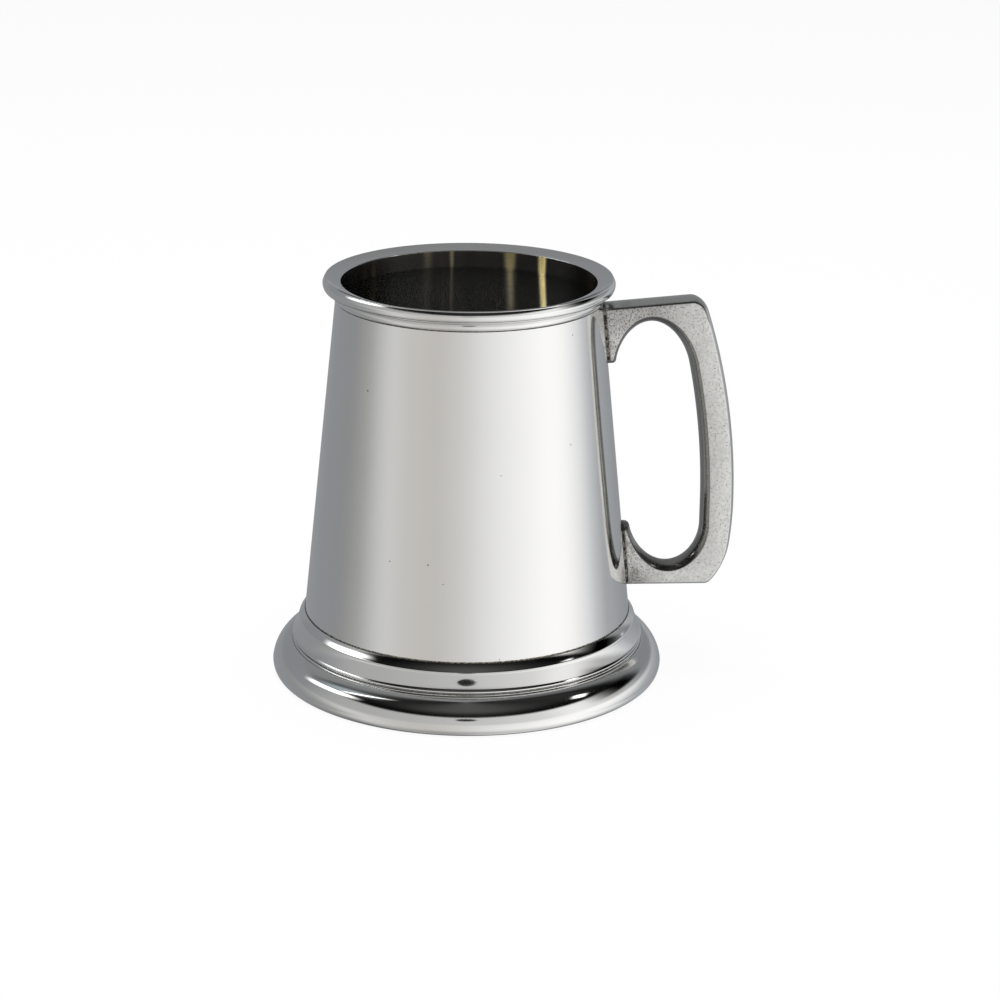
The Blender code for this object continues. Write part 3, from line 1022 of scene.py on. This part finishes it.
@dataclass(frozen=True)
class Floor:
    """Spun disc that closes the mug inside its tail, with a shallow ring turned in it."""

    radius: float = 0.04670
    low: float = 0.00945
    high: float = 0.01105
    edge: float = 0.0003
    ring_radius: float = 0.0300
    ring_width: float = 0.0020
    ring_depth: float = 0.0003

    def profile(self) -> list[Vector]:
        """Outline of the disc from its middle to its edge and back.

        Returns:
            The outline's points, which start and end on the axis.
        """
        ring_start = (self.ring_radius - self.ring_width, self.high)
        ring_end = (self.ring_radius + self.ring_width, self.high)
        return [
            Vector((0.0, self.high)),
            *bow(ring_start, ring_end, -self.ring_depth, steps=8),
            Vector((self.radius - self.edge, self.high)),
            Vector((self.radius, self.high - self.edge)),
            Vector((self.radius, self.low + self.edge)),
            Vector((self.radius - self.edge, self.low)),
            Vector((0.0, self.low)),
        ]

    def build(self, shop: Workshop, inside: Finish) -> None:
        """Turn the disc."""
        shop.finish("floor_disc", shop.turn(self.profile()), [inside], Slot.SPUN, ["base_disc"])


@dataclass(frozen=True)
class SolderRuns:
    """Rings of solder at the rim, the foot and the base disc."""

    cone: BarrelCone
    width: float = 0.0005
    bulge: float = 0.12
    rim_half: float = 0.00013
    rim_sink: float = 0.00014
    foot_half: float = 0.00020
    foot_sink: float = 0.00002
    base_inset: float = 0.0017
    base_width: float = 0.0009
    base_low: float = 0.00945
    base_high: float = 0.01105

    def band(self, inset: float, width: float, low: float, high: float) -> list[Vector]:
        """Outline of a band inside the barrel's outer surface.

        Args:
            inset: How far inside that surface the band lies.
            width: How wide it is.
            low: Its lower height.
            high: Its upper height.

        Returns:
            The outline's points.
        """
        outer_high, outer_low = self.cone.radius(high) - inset, self.cone.radius(low) - inset
        bead = bow((outer_high, high), (outer_low, low), (high - low) * self.bulge, steps=4)
        return [*bead, Vector((outer_low - width, low)), Vector((outer_high - width, high))]

    def build(self, shop: Workshop, solder: Finish, beaded: Finish) -> None:
        """Turn the three rings.

        Args:
            shop: Makes the pieces.
            solder: Finish of the rim's and the base's.
            beaded: Finish of the foot's.
        """
        high, low = self.cone.high, self.cone.low
        rim = self.band(self.rim_sink, self.width, high - self.rim_half, high + self.rim_half)
        foot = self.band(self.foot_sink, self.width, low - self.foot_half, low + self.foot_half)
        base = self.band(self.base_inset, self.base_width, self.base_low, self.base_high)
        for name, profile, node, finish in (
            ("rim_seam", rim, "rim_solder", solder),
            ("foot_seam", foot, "foot_solder", beaded),
            ("base_seam", base, "base_solder", solder),
        ):
            shop.finish(name, shop.turn(profile), [finish], Slot.SOLDER, [node])


@dataclass(frozen=True)
class Handle:
    """Cast handle with flat sides and crowned inner and outer faces, on two long feet."""

    cone: BarrelCone
    thickness: float = 0.0086
    crown: float = 0.00135
    crown_steps: int = 6
    edge: float = 0.00028
    edge_steps: int = 2
    top: float = 0.1109
    bottom: float = 0.02445
    root_depth: float = 0.0060
    top_rise: float = 0.0027
    top_depth: float = 0.0078
    bottom_depth: float = 0.0069
    bottom_drop: float = 0.00045
    belly_x: float = 0.07976
    belly_lift: float = 0.0255
    grip_width: float = 0.0100
    grip_top_width: float = 0.0090
    top_setback: float = 0.0111
    top_round: float = 0.0038
    top_sweep: float = 1.7
    bottom_setback: float = 0.0072
    bottom_clear: float = 0.0019
    heel_start: Point = (-0.0009, 0.0120)
    heel_bend: Point = (-0.0020, 0.0038)
    upper_fang: float = 0.0176
    lower_fang: float = 0.0194
    fang_tip: float = 0.0024
    fang_clear: float = 1.3
    fang_splay: float = 0.0020
    corner_round: float = 0.0009
    corner_steps: int = 4
    corner_angle: float = math.radians(30.0)
    upper_corner: float = 0.0133
    lower_corner: float = 0.0120
    loop_crown: float = 0.00085
    loop_clear: float = 0.0020
    loop_ease: float = 0.0080
    loop_half: float = 0.0115
    loop_squash: float = 0.35
    loop_facing: float = 0.1
    bed: float = 0.00035
    bed_sunk: float = 0.0003
    bed_share: float = 0.975

    @property
    def root_x(self) -> float:
        """Where the two roots end, well inside the barrel."""
        return self.cone.radius(self.top) - self.root_depth

    @property
    def belly(self) -> Vector:
        """Point of the back that is farthest from the mug."""
        return Vector((self.belly_x, self.bottom + self.belly_lift))

    @property
    def top_corner(self) -> Vector:
        """Where the back and the top would meet."""
        return Vector((self.belly_x - self.top_setback, self.top + self.top_rise))

    def belly_arc(self, belly: Vector, end: Vector, steps: int) -> list[Vector]:
        """Points of the arc that leaves the grip's belly upright.

        Args:
            belly: Where it starts.
            end: Where it ends.
            steps: Number of pieces that it is cut into.

        Returns:
            The arc's points.
        """
        inset, climb = belly.x - end.x, end.y - belly.y
        radius = (inset**2 + climb**2) / (2 * inset)
        sweep = math.asin(climb / radius)
        turns = [sweep * step / steps for step in range(steps + 1)]
        return [belly + Vector((radius * (math.cos(a) - 1), radius * math.sin(a))) for a in turns]

    def outside(self) -> list[Vector]:
        """Outer edge of the handle, from its upper root to its lower root.

        Returns:
            Points as distance from the mug's axis and height.
        """
        top_root, bottom_root = Vector((self.root_x, self.top)), Vector((self.root_x, self.bottom))
        heel = Vector((self.belly_x, self.bottom))
        heel_start, heel_bend = heel + Vector(self.heel_start), heel + Vector(self.heel_bend)
        bottom_corner = heel - Vector((self.bottom_setback, self.bottom_drop))
        upper = self.belly_arc(self.belly, self.top_corner, steps=40)
        lower = self.belly_arc(self.belly, heel_start, steps=12)
        lower += swept_corner(heel_start, heel_bend, bottom_corner, steps=16)[1:]
        keep_upper = first_near(upper, self.top_corner, self.top_round * self.top_sweep)
        keep_lower = first_near(lower, bottom_corner, self.bottom_clear)
        top_leg = (top_root - self.top_corner).normalized() * self.top_round
        top_start, top_end = self.top_corner + top_leg, upper[keep_upper]
        top_turn = swept_corner(top_start, self.top_corner, top_end, steps=14)
        back = upper[keep_upper - 1 : 0 : -1] + lower[:keep_lower]
        return [top_root] + top_turn + back + [bottom_corner, bottom_root]

    def inside(self) -> list[Vector]:
        """Edge of the finger loop, from the lower foot's tip to the upper foot's tip.

        Returns:
            Points as distance from the mug's axis and height.
        """
        loop_top = self.top + self.top_rise - self.top_depth
        loop_bottom = self.bottom + self.bottom_depth
        upper_z, lower_z = self.top - self.upper_fang, self.bottom + self.lower_fang
        upper_tip = Vector((self.cone.radius(upper_z) + self.fang_tip, upper_z))
        lower_tip = Vector((self.cone.radius(lower_z) + self.fang_tip, lower_z))
        grip_low = Vector((self.belly_x - self.grip_width, self.belly.y))
        grip_top_z = loop_top - self.upper_corner
        outer = self.belly_arc(self.belly, self.top_corner, steps=10)
        back = min(outer, key=lambda point: abs(point.y - grip_top_z))
        grip_top = Vector((back.x - self.grip_top_width, grip_top_z))
        grip = self.belly_arc(grip_low, grip_top, steps=24)
        lean = (grip[-1] - grip[-5]).normalized()
        upper_outer = grip_top + lean * (loop_top - grip_top.y) / lean.y
        upper_inner = Vector((upper_tip.x + self.fang_splay / 2, loop_top))
        lower_outer = Vector((grip_low.x, loop_bottom))
        lower_inner = Vector((lower_tip.x + self.fang_splay, loop_bottom))
        crest, trough = (upper_inner + upper_outer) / 2, (lower_inner + lower_outer) / 2
        corner_end = Vector((grip_low.x, loop_bottom + self.lower_corner))
        lower_foot = swept_corner(lower_tip, lower_inner, trough, steps=18)[1:]
        upper_foot = swept_corner(crest, upper_inner, upper_tip, steps=18)[1:-1]
        clear = self.crown * self.fang_clear
        return (
            [Vector((self.root_x, lower_tip.y)), lower_tip]
            + [point for point in lower_foot if (point - lower_tip).length > clear]
            + swept_corner(trough, lower_outer, corner_end, steps=18)[1:]
            + grip
            + swept_corner(grip_top, upper_outer, crest, steps=18)[1:]
            + [point for point in upper_foot if (point - upper_tip).length > clear]
            + [upper_tip, Vector((self.root_x, upper_tip.y))]
        )

    def casting(self) -> bmesh.types.BMesh:
        """Shape of the whole casting, before its feet are cut to the barrel.

        Returns:
            A closed shape, whose faces have the material numbers of HandleFace.
        """
        shape = bmesh.new()
        outline = self.outside() + self.inside()
        corners = [shape.verts.new((point.x, 0.0, point.y)) for point in outline]
        bmesh.ops.remove_doubles(shape, verts=corners, dist=WELD)
        side = shape.faces.new(shape.verts)
        side.normal_update()
        if side.normal.y > 0.0:
            bmesh.ops.reverse_faces(shape, faces=[side])
        side.material_index = HandleFace.BACK
        self.crown_side(shape, side)
        self.mark_loop(shape)
        side.material_index = HandleFace.SIDE
        self.round_loop(shape)
        self.round_corners(shape)
        side = max(shape.faces, key=lambda face: face.calc_area())
        soften(shape, list(side.edges), self.edge, self.edge_steps, clamp=False)
        bmesh.ops.mirror(shape, geom=every_part(shape), axis="Y", merge_dist=WELD)
        bmesh.ops.recalc_face_normals(shape, faces=shape.faces)
        return shape

    def crown_side(self, shape: bmesh.types.BMesh, side: bmesh.types.BMFace) -> None:
        """Raise a side from the handle's middle plane, so that crowned faces form round it.

        Args:
            shape: The side's shape.
            side: The flat side, which ends up half the handle's thickness away.
        """
        half = self.thickness / 2
        bend = (half**2 + self.crown**2) / (2 * self.crown)
        depth_done, inset_done = 0.0, 0.0
        for step in range(1, self.crown_steps + 1):
            depth = half * step / self.crown_steps
            inset = bend - math.sqrt(bend**2 - depth**2)
            bmesh.ops.inset_region(
                shape,
                faces=[side],
                use_boundary=True,
                use_even_offset=True,
                thickness=inset - inset_done,
                depth=depth - depth_done,
            )
            depth_done, inset_done = depth, inset

    def mark_loop(self, shape: bmesh.types.BMesh) -> None:
        """Give the faces that look into the finger loop its finish.

        Args:
            shape: Half of the casting, with its crowned faces.
        """
        loop_x = self.belly_x - self.grip_width - self.loop_half
        loop_middle = Vector((loop_x, 0.0, (self.top + self.bottom) / 2))
        for face in shape.faces:
            face.normal_update()
            to_loop = loop_middle - face.calc_center_median()
            to_loop.z *= self.loop_squash
            if face.normal.dot(to_loop) > 0.0:
                face.material_index = HandleFace.LOOP

    def round_loop(self, shape: bmesh.types.BMesh) -> None:
        """Round the finger loop's edge off further than the back's, away from the two feet.

        Args:
            shape: Half of the casting, with its loop's faces marked.
        """
        for vert in shape.verts:
            walls = [face.normal for face in vert.link_faces if face.material_index == HandleFace.LOOP]
            out = sum(walls, Vector((0.0, 0.0, 0.0)))
            out.y = 0.0
            reach = vert.co.x - self.cone.radius(vert.co.z) - self.loop_clear
            if reach <= 0.0 or out.length < self.loop_facing:
                continue
            share = min(1.0, reach / self.loop_ease) * (2 * vert.co.y / self.thickness) ** 2
            vert.co -= out.normalized() * self.loop_crown * share

    def round_corners(self, shape: bmesh.types.BMesh) -> None:
        """Round the tips of the two feet and the lower back corner off.

        Args:
            shape: Half of the casting, before the edges of its side are bevelled.
        """
        corners = []
        for edge in shape.edges:
            first, second = (vert.co for vert in edge.verts)
            middle = (first + second) / 2
            outside = middle.x > self.cone.radius(middle.z)
            across = abs(first.y - second.y) > WELD
            if outside and across and edge.calc_face_angle(0.0) > self.corner_angle:
                corners.append(edge)
        soften(shape, corners, self.corner_round, self.corner_steps, clamp=True)

    def cut(self, shape: bmesh.types.BMesh, distance: float, keep_outside: bool) -> None:
        """Cut a shape along the barrel's wall and close the cut.

        Args:
            shape: The shape to cut.
            distance: How far outside the wall the cut runs.
            keep_outside: Whether the part away from the barrel stays.
        """
        normal = self.cone.wall_normal()
        bmesh.ops.bisect_plane(
            shape,
            geom=every_part(shape),
            dist=WELD,
            plane_co=Vector((self.cone.radius(0.0), 0.0, 0.0)) + normal * distance,
            plane_no=normal,
            clear_inner=keep_outside,
            clear_outer=not keep_outside,
        )
        rims = [edge for edge in shape.edges if edge.is_boundary]
        bmesh.ops.holes_fill(shape, edges=rims, sides=0)

    def build(self, shop: Workshop, sides: Finish, back: Finish, loop: Finish, solder: Finish) -> None:
        """Build the handle and the two beds of solder under its feet.

        Args:
            shop: Makes the pieces.
            sides: Finish of the flat sides.
            back: Finish of the crowned outer face.
            loop: Finish of the crowned face in the finger loop.
            solder: Finish of the beds.
        """
        shape = self.casting()
        self.cut(shape, self.bed, keep_outside=True)
        shop.finish("handle_casting", shape, [sides, back, loop], Slot.CAST, ["handle"])
        middle = (self.top + self.bottom) / 2
        for name, node, upper in (
            ("upper_bed", "upper_handle_solder", True),
            ("lower_bed", "lower_handle_solder", False),
        ):
            bed = self.casting()
            self.cut(bed, -self.bed_sunk, keep_outside=True)
            self.cut(bed, self.bed, keep_outside=False)
            spare = [vert for vert in bed.verts if (vert.co.z > middle) != upper]
            bmesh.ops.delete(bed, geom=spare, context="VERTS")
            bmesh.ops.scale(bed, verts=bed.verts, vec=(1.0, self.bed_share, 1.0))
            for face in bed.faces:
                face.material_index = 0
            shop.finish(name, bed, [solder], Slot.SOLDER, [node])


@dataclass(frozen=True)
class PhotoCamera:
    """Camera at the photograph's viewing angle, measured from the mug's axis."""

    cone: BarrelCone
    side: float = 0.009588
    distance: float = 0.778566
    height: float = 0.310710
    pitch: float = math.radians(18.4096)
    roll: float = math.radians(0.6078)
    handle_turn: float = math.radians(5.4)
    lens: float = 99.45
    sensor: float = 36.0

    def heading(self) -> Matrix:
        """Turn from the camera's own straight-ahead frame into the mug's."""
        return Matrix.Rotation(-self.handle_turn, 4, "Z")

    def location(self) -> Vector:
        """Where the camera stands."""
        return self.cone.stand + self.heading() @ Vector((self.side, -self.distance, self.height))

    def bearing(self) -> float:
        """Angle from +X round to the camera, about the mug's axis."""
        toward = self.location() - self.cone.stand
        return math.atan2(toward.y, toward.x)

    def build(self) -> None:
        """Make the camera the scene's own."""
        data = bpy.data.cameras.new("photo_camera")
        data.lens = self.lens
        data.sensor_width = self.sensor
        camera = add_object("photo_camera", data)
        tilt = Matrix.Rotation(math.pi / 2 - self.pitch, 4, "X")
        turn = Matrix.Rotation(self.roll, 4, "Z")
        camera.matrix_world = Matrix.Translation(self.location()) @ self.heading() @ tilt @ turn
        bpy.context.scene.camera = camera


@dataclass(frozen=True)
class Softbox:
    """A long soft lamp between two directions, aimed at the mug.

    A direction is an azimuth from the camera to the right and an elevation, both in degrees.
    """

    name: str
    start: Pair
    end: Pair
    width: float
    level: float
    distance: float = 1.3
    seen: bool = True
    soft_ends: float = 0.45
    soft_sides: float = 0.40
    tint: Colour = WHITE

    def feather(self, data: bpy.types.Light) -> None:
        """Let the lamp's light fall off towards its edges.

        Args:
            data: The lamp's light.
        """
        data.use_nodes = True
        data.node_tree.nodes.clear()
        graph = Graph(data.node_tree)
        axes = graph.axes(graph.add("NewGeometry").outputs["Parametric"])
        falls = [
            graph.fade(graph.apart(axes[axis], 0.5), 0.5 - soft, 0.5)
            for axis, soft in (("X", self.soft_ends), ("Y", self.soft_sides))
            if soft > 0.0
        ]
        shine = graph.add("Emission", {"Strength": graph.fold("MULTIPLY", 1.0, *falls)})
        graph.add("OutputLight", {0: shine.outputs[0]})


@dataclass(frozen=True)
class Studio:
    """Pale sweep round the mug, with a wall, a dark ceiling, five soft lamps and a floor.

    Bands of elevation are in degrees, and a flag is azimuths with the share of light it lets by.
    """

    camera: PhotoCamera
    sweep: Levels = (
        (-180.0, 0.32, 0.04),
        (-140.0, 0.31, 0.04),
        (-106.0, 0.33, 0.01),
        (-86.0, 0.46, 0.0),
        (-67.0, 0.67, 0.0),
        (-46.0, 0.63, -0.02),
        (-18.0, 0.63, -0.02),
        (10.0, 0.84, 0.0),
        (55.0, 1.12, 0.0),
        (85.0, 1.10, 0.0),
        (109.0, 0.76, 0.02),
        (127.0, 0.49, 0.03),
        (145.0, 0.41, 0.04),
        (180.0, 0.32, 0.04),
    )
    wall: Levels = (
        (-180.0, 0.275, 0.04),
        (-110.0, 0.30, 0.04),
        (-85.0, 0.43, 0.01),
        (-48.0, 0.49, 0.0),
        (-25.0, 0.53, 0.0),
        (0.0, 0.61, 0.0),
        (25.0, 0.70, 0.0),
        (45.0, 0.80, 0.0),
        (70.0, 0.98, 0.0),
        (93.0, 0.58, 0.0),
        (110.0, 0.44, 0.01),
        (131.0, 0.28, 0.04),
        (180.0, 0.275, 0.04),
    )
    ceiling: Levels = (
        (-180.0, 0.26, 0.02),
        (-125.0, 0.25, 0.02),
        (-106.0, 0.10, 0.0),
        (-90.0, 0.03, 0.0),
        (-50.0, 0.03, 0.0),
        (0.0, 0.09, 0.0),
        (60.0, 0.03, 0.0),
        (100.0, 0.03, 0.0),
        (114.0, 0.04, 0.0),
        (128.0, 0.20, 0.02),
        (180.0, 0.26, 0.02),
    )
    flag: tuple[Pair, ...] = (
        (-180.0, 1.0),
        (76.0, 1.0),
        (97.0, 0.12),
        (121.0, 0.12),
        (131.0, 0.9),
        (180.0, 1.0),
    )
    blueness: float = 1.4
    brightest: float = 1.25
    spread: float = 0.8
    spread_level: float = -0.10
    spread_rise: Easing = (-0.5, -0.25)
    nadir: Easing = (-0.9, -0.55, 0.40, 0.0)
    horizon_band: Pair = (0.0, 8.0)
    flag_band: Pair = (11.0, 17.0)
    wall_band: Pair = (28.0, 34.0)
    glow_band: Pair = (37.0, 58.0)
    glow_least: float = 0.12
    glow_behind: Easing = (0.28, 0.35)
    lamps: tuple[Softbox, ...] = (
        Softbox("left_softbox", (-116.0, 19.0), (-70.0, 36.0), 0.26, 3.8),
        Softbox("left_tail", (-94.0, 33.0), (-68.0, 63.0), 0.10, 3.0),
        Softbox("left_halo", (-113.0, 22.0), (-67.0, 58.0), 0.44, 0.45, tint=(0.80, 0.93, 1.0)),
        Softbox("right_softbox", (78.5, 37.0), (91.5, 45.0), 0.24, 3.2),
        Softbox(
            "top_softbox", (180.0, 66.0), (0.0, 66.0), 1.4, 5.0, 1.6,
            seen=False, soft_ends=0.0, soft_sides=0.0,
        ),
    )
    floor_size: float = 8.0
    floor_drop: float = 0.0002
    floor_colour: Colour = (0.9, 0.9, 0.9)
    shadow_share: float = 0.08
    hood_radius: float = 0.080
    hood_squash: float = 0.75
    hood_steps: int = 48
    hood_colour: Colour = (0.01, 0.01, 0.01)
    hood_roughness: float = 0.9

    def build(self) -> None:
        """Build the world, the lamps, the floor and the lens hood."""
        self._world()
        for lamp in self.lamps:
            self._lamp(lamp)
        self._floor()
        self._lens_hood()

    def _stops(self, levels: Levels) -> list[tuple[float, Colour]]:
        """Ramp stops for levels of light round the mug.

        Args:
            levels: Azimuth in degrees from the camera to the right, level and blueness.

        Returns:
            Places and colours of a ramp that starts and ends behind the mug.
        """
        stops = []
        for azimuth, level, blue in levels:
            share = level / self.brightest
            colour = (share * (1.0 - blue), share, share * (1.0 + blue * self.blueness))
            stops.append((0.5 + azimuth / 360.0, colour))
        return stops

    def _climb(self, graph: Graph, rise: Socket, band: Pair, start: float = 0.0) -> Socket:
        """Ease from start to 1 as the sine of an elevation climbs through a band of degrees."""
        low, high = (math.sin(math.radians(angle)) for angle in band)
        return graph.ease(rise, low, high, start)

    def _world(self) -> None:
        """Light the mug from a sweep that is pale below and dark above, on a white background."""
        world = bpy.data.worlds.new("studio_sweep")
        bpy.context.scene.world = world
        world.use_nodes = True
        world.node_tree.nodes.clear()
        graph = Graph(world.node_tree)
        view = graph.add("TexCoord").outputs["Generated"]
        turn = (0.0, 0.0, -self.camera.bearing())
        facing = graph.add("Mapping", {"Rotation": turn, "Vector": view}).outputs[0]
        about = graph.add("TexGradient", {0: facing}, gradient_type="RADIAL").outputs["Fac"]
        light = self._light(graph, about, graph.axes(view)["Z"])
        lit = graph.add("Background", {"Color": light, "Strength": self.brightest})
        white = graph.add("Background", {"Color": WHITE})
        graph.camera_sees(1.0, lit, white, "OutputWorld")

    def _light(self, graph: Graph, about: Socket, rise: Socket) -> Socket:
        """Light that comes from a direction.

        Args:
            graph: Where the nodes go.
            about: Azimuth from the camera, from 0 to 1 with the camera at a half.
            rise: Sine of the elevation.

        Returns:
            The light, as a share of the brightest.
        """
        aside = graph.sum("SUBTRACT", about, 0.5)
        squeeze = graph.sum("MULTIPLY_ADD", rise, -self.spread, self.spread * self.spread_level)
        squeeze = graph.sum("MULTIPLY", squeeze, graph.ease(rise, *self.spread_rise))
        place = graph.sum("MULTIPLY_ADD", aside, squeeze, about)
        low = graph.ramp(place, self._stops(self.sweep))
        low = graph.mix(graph.ease(rise, *self.nadir), low, BLACK)
        high = graph.ramp(about, self._stops(self.wall))
        passed = graph.ramp(about, [(0.5 + at / 360.0, (share,) * 3) for at, share in self.flag])
        flagged = graph.mix(passed, BLACK, high)
        high = graph.mix(self._climb(graph, rise, self.flag_band), high, flagged)
        sides = graph.mix(self._climb(graph, rise, self.horizon_band), low, high)
        ceiling = graph.ramp(about, self._stops(self.ceiling))
        behind = graph.ease(graph.sum("ABSOLUTE", aside), *self.glow_behind)
        overhead = self._climb(graph, rise, self.glow_band, self.glow_least)
        ceiling = graph.mix(graph.sum("MAXIMUM", overhead, behind), BLACK, ceiling)
        return graph.mix(self._climb(graph, rise, self.wall_band), sides, ceiling)

    def _lamp(self, lamp: Softbox) -> None:
        """Hang one softbox.

        Args:
            lamp: Its place, size and power.
        """
        start, end = self._direction(*lamp.start), self._direction(*lamp.end)
        out = (start + end).normalized()
        along = (end - start).normalized()
        length = 2 * lamp.distance * math.tan(start.angle(end) / 2)
        data = bpy.data.lights.new(lamp.name, "AREA")
        data.shape = "RECTANGLE"
        data.size, data.size_y = length, lamp.width
        data.energy = lamp.level * math.pi * length * lamp.width
        data.color = lamp.tint
        lamp.feather(data)
        box = add_object(lamp.name, data)
        middle = self.camera.cone.stand + Vector((0.0, 0.0, self.camera.cone.high / 2))
        facing = Matrix((along, out.cross(along), out)).transposed().to_4x4()
        box.matrix_world = Matrix.Translation(middle + out * lamp.distance) @ facing
        box.visible_camera = False
        box.visible_glossy = lamp.seen

    def _direction(self, azimuth: float, elevation: float) -> Vector:
        """Direction from the mug.

        Args:
            azimuth: Degrees from the camera to the right.
            elevation: Degrees above the table.

        Returns:
            A vector of length one.
        """
        turn = self.camera.bearing() + math.radians(azimuth)
        rise = math.radians(elevation)
        flat = math.cos(rise)
        return Vector((flat * math.cos(turn), flat * math.sin(turn), math.sin(rise)))

    def _floor(self) -> None:
        """Lay a white floor that keeps a soft shadow and that the metal sees as the sweep."""
        shape = bmesh.new()
        bmesh.ops.create_grid(shape, x_segments=1, y_segments=1, size=self.floor_size / 2)
        bmesh.ops.translate(shape, verts=shape.verts, vec=(0.0, 0.0, -self.floor_drop))
        material, graph, _ = node_material("studio_floor")
        graph.tree.nodes.clear()
        matte = graph.add("BsdfDiffuse", {"Color": self.floor_colour})
        glow = graph.add("Emission", {"Color": WHITE})
        graph.camera_sees(1.0 - self.shadow_share, matte, glow, "OutputMaterial")
        floor = add_object("studio_floor", mesh_of("studio_floor", shape, [material]))
        floor.visible_glossy = False
        floor.visible_shadow = False

    def _lens_hood(self) -> None:
        """Hold a dark hood round the lens, which the foot reflects."""
        shape = bmesh.new()
        bmesh.ops.create_circle(shape, cap_ends=True, segments=self.hood_steps, radius=self.hood_radius)
        bmesh.ops.scale(shape, verts=shape.verts, vec=(1.0, self.hood_squash, 1.0))
        where = self.camera.location()
        aim = (self.camera.cone.stand - where).to_track_quat("-Z", "Y").to_matrix().to_4x4()
        bmesh.ops.transform(shape, matrix=Matrix.Translation(where) @ aim, verts=shape.verts)
        material, graph, shader = node_material("lens_hood")
        graph.feed(shader.inputs["Base Color"], self.hood_colour)
        graph.feed(shader.inputs["Roughness"], self.hood_roughness)
        hood = add_object("lens_hood", mesh_of("lens_hood", shape, [material]))
        hood.visible_camera = False
        hood.visible_shadow = False
        hood.visible_diffuse = False


def main() -> None:
    """Build the mug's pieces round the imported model, then the camera and the studio."""
    logging.basicConfig(level=logging.INFO, format="%(message)s")
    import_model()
    low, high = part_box("barrel")
    cone = BarrelCone(axis_x=(low.x + high.x) / 2)
    shop = Workshop(cone)

    silver = (0.82, 0.815, 0.80)
    feet = ((0.0925, 0.1115), (0.0240, 0.0445))
    wall_lines = ((cone.low, 0.0006),)
    rim_lines = ((cone.high, 0.0005), (0.11675, 0.0004))
    foot_lines = ((cone.low, 0.0005), (0.01040, 0.0005))
    smooth = {"mottling": 0.012, "grain_depth": 0.000004}
    # Painted shade along the finger loop's edges, all the way down.
    edge_shade_settings = {"painted_edge_shade": 0.55, "painted_edge_shade_width": 0.0009, "painted_edge_shade_from": 0.0}
    wall = PolishedPewter("polished_wall", cone, silver, 0.085, seams=wall_lines, handle_feet=feet)
    rim = PolishedPewter("polished_rim", cone, silver, 0.10, seams=rim_lines, turning_depth=0.000005)
    foot = PolishedPewter("polished_foot", cone, silver, 0.075, seams=foot_lines)
    spun = SpunPewter("spun_inside", cone, (0.57, 0.565, 0.555), 0.23)
    # The disc has no painted highlights and no painted shade near the mouth.
    disc = SpunPewter("spun_disc", cone, (0.46, 0.455, 0.44), 0.25, painted_highlights=(), painted_mouth_shade=0.0)
    sides = CastPewter("cast_sides", cone, (0.675, 0.67, 0.65), 0.34, pits=0.85)
    # The back gets painted shade along its edges near the top.
    back = CastPewter("buffed_back", cone, (0.72, 0.715, 0.70), 0.15, pits=0.1, painted_edge_shade=0.8, **smooth)
    # Painted shade: the finger loop's crowned face is a much darker copy of the cast metal, with painted
    # shade along its edges.
    loop = CastPewter("loop_painted_shade", cone, (0.38, 0.375, 0.355), 0.10, pits=0.3, **edge_shade_settings, **smooth)
    solder = TarnishedSolder("tarnished_solder", cone, (0.26, 0.245, 0.22), 0.45)
    beaded = TarnishedSolder("beaded_solder", cone, (0.52, 0.47, 0.37), 0.40, beads=(2000.0, 3.0, 0.6))

    Barrel(cone).build(shop, wall, spun)
    Rim(cone).build(shop, rim, spun)
    Foot(cone).build(shop, foot)
    Floor().build(shop, disc)
    SolderRuns(cone).build(shop, solder, beaded)
    Handle(cone).build(shop, sides, back, loop, solder)

    camera = PhotoCamera(cone)
    camera.build()
    Studio(camera).build()
    bpy.context.scene.view_settings.view_transform = "Standard"


if __name__ == "__main__":
    main()
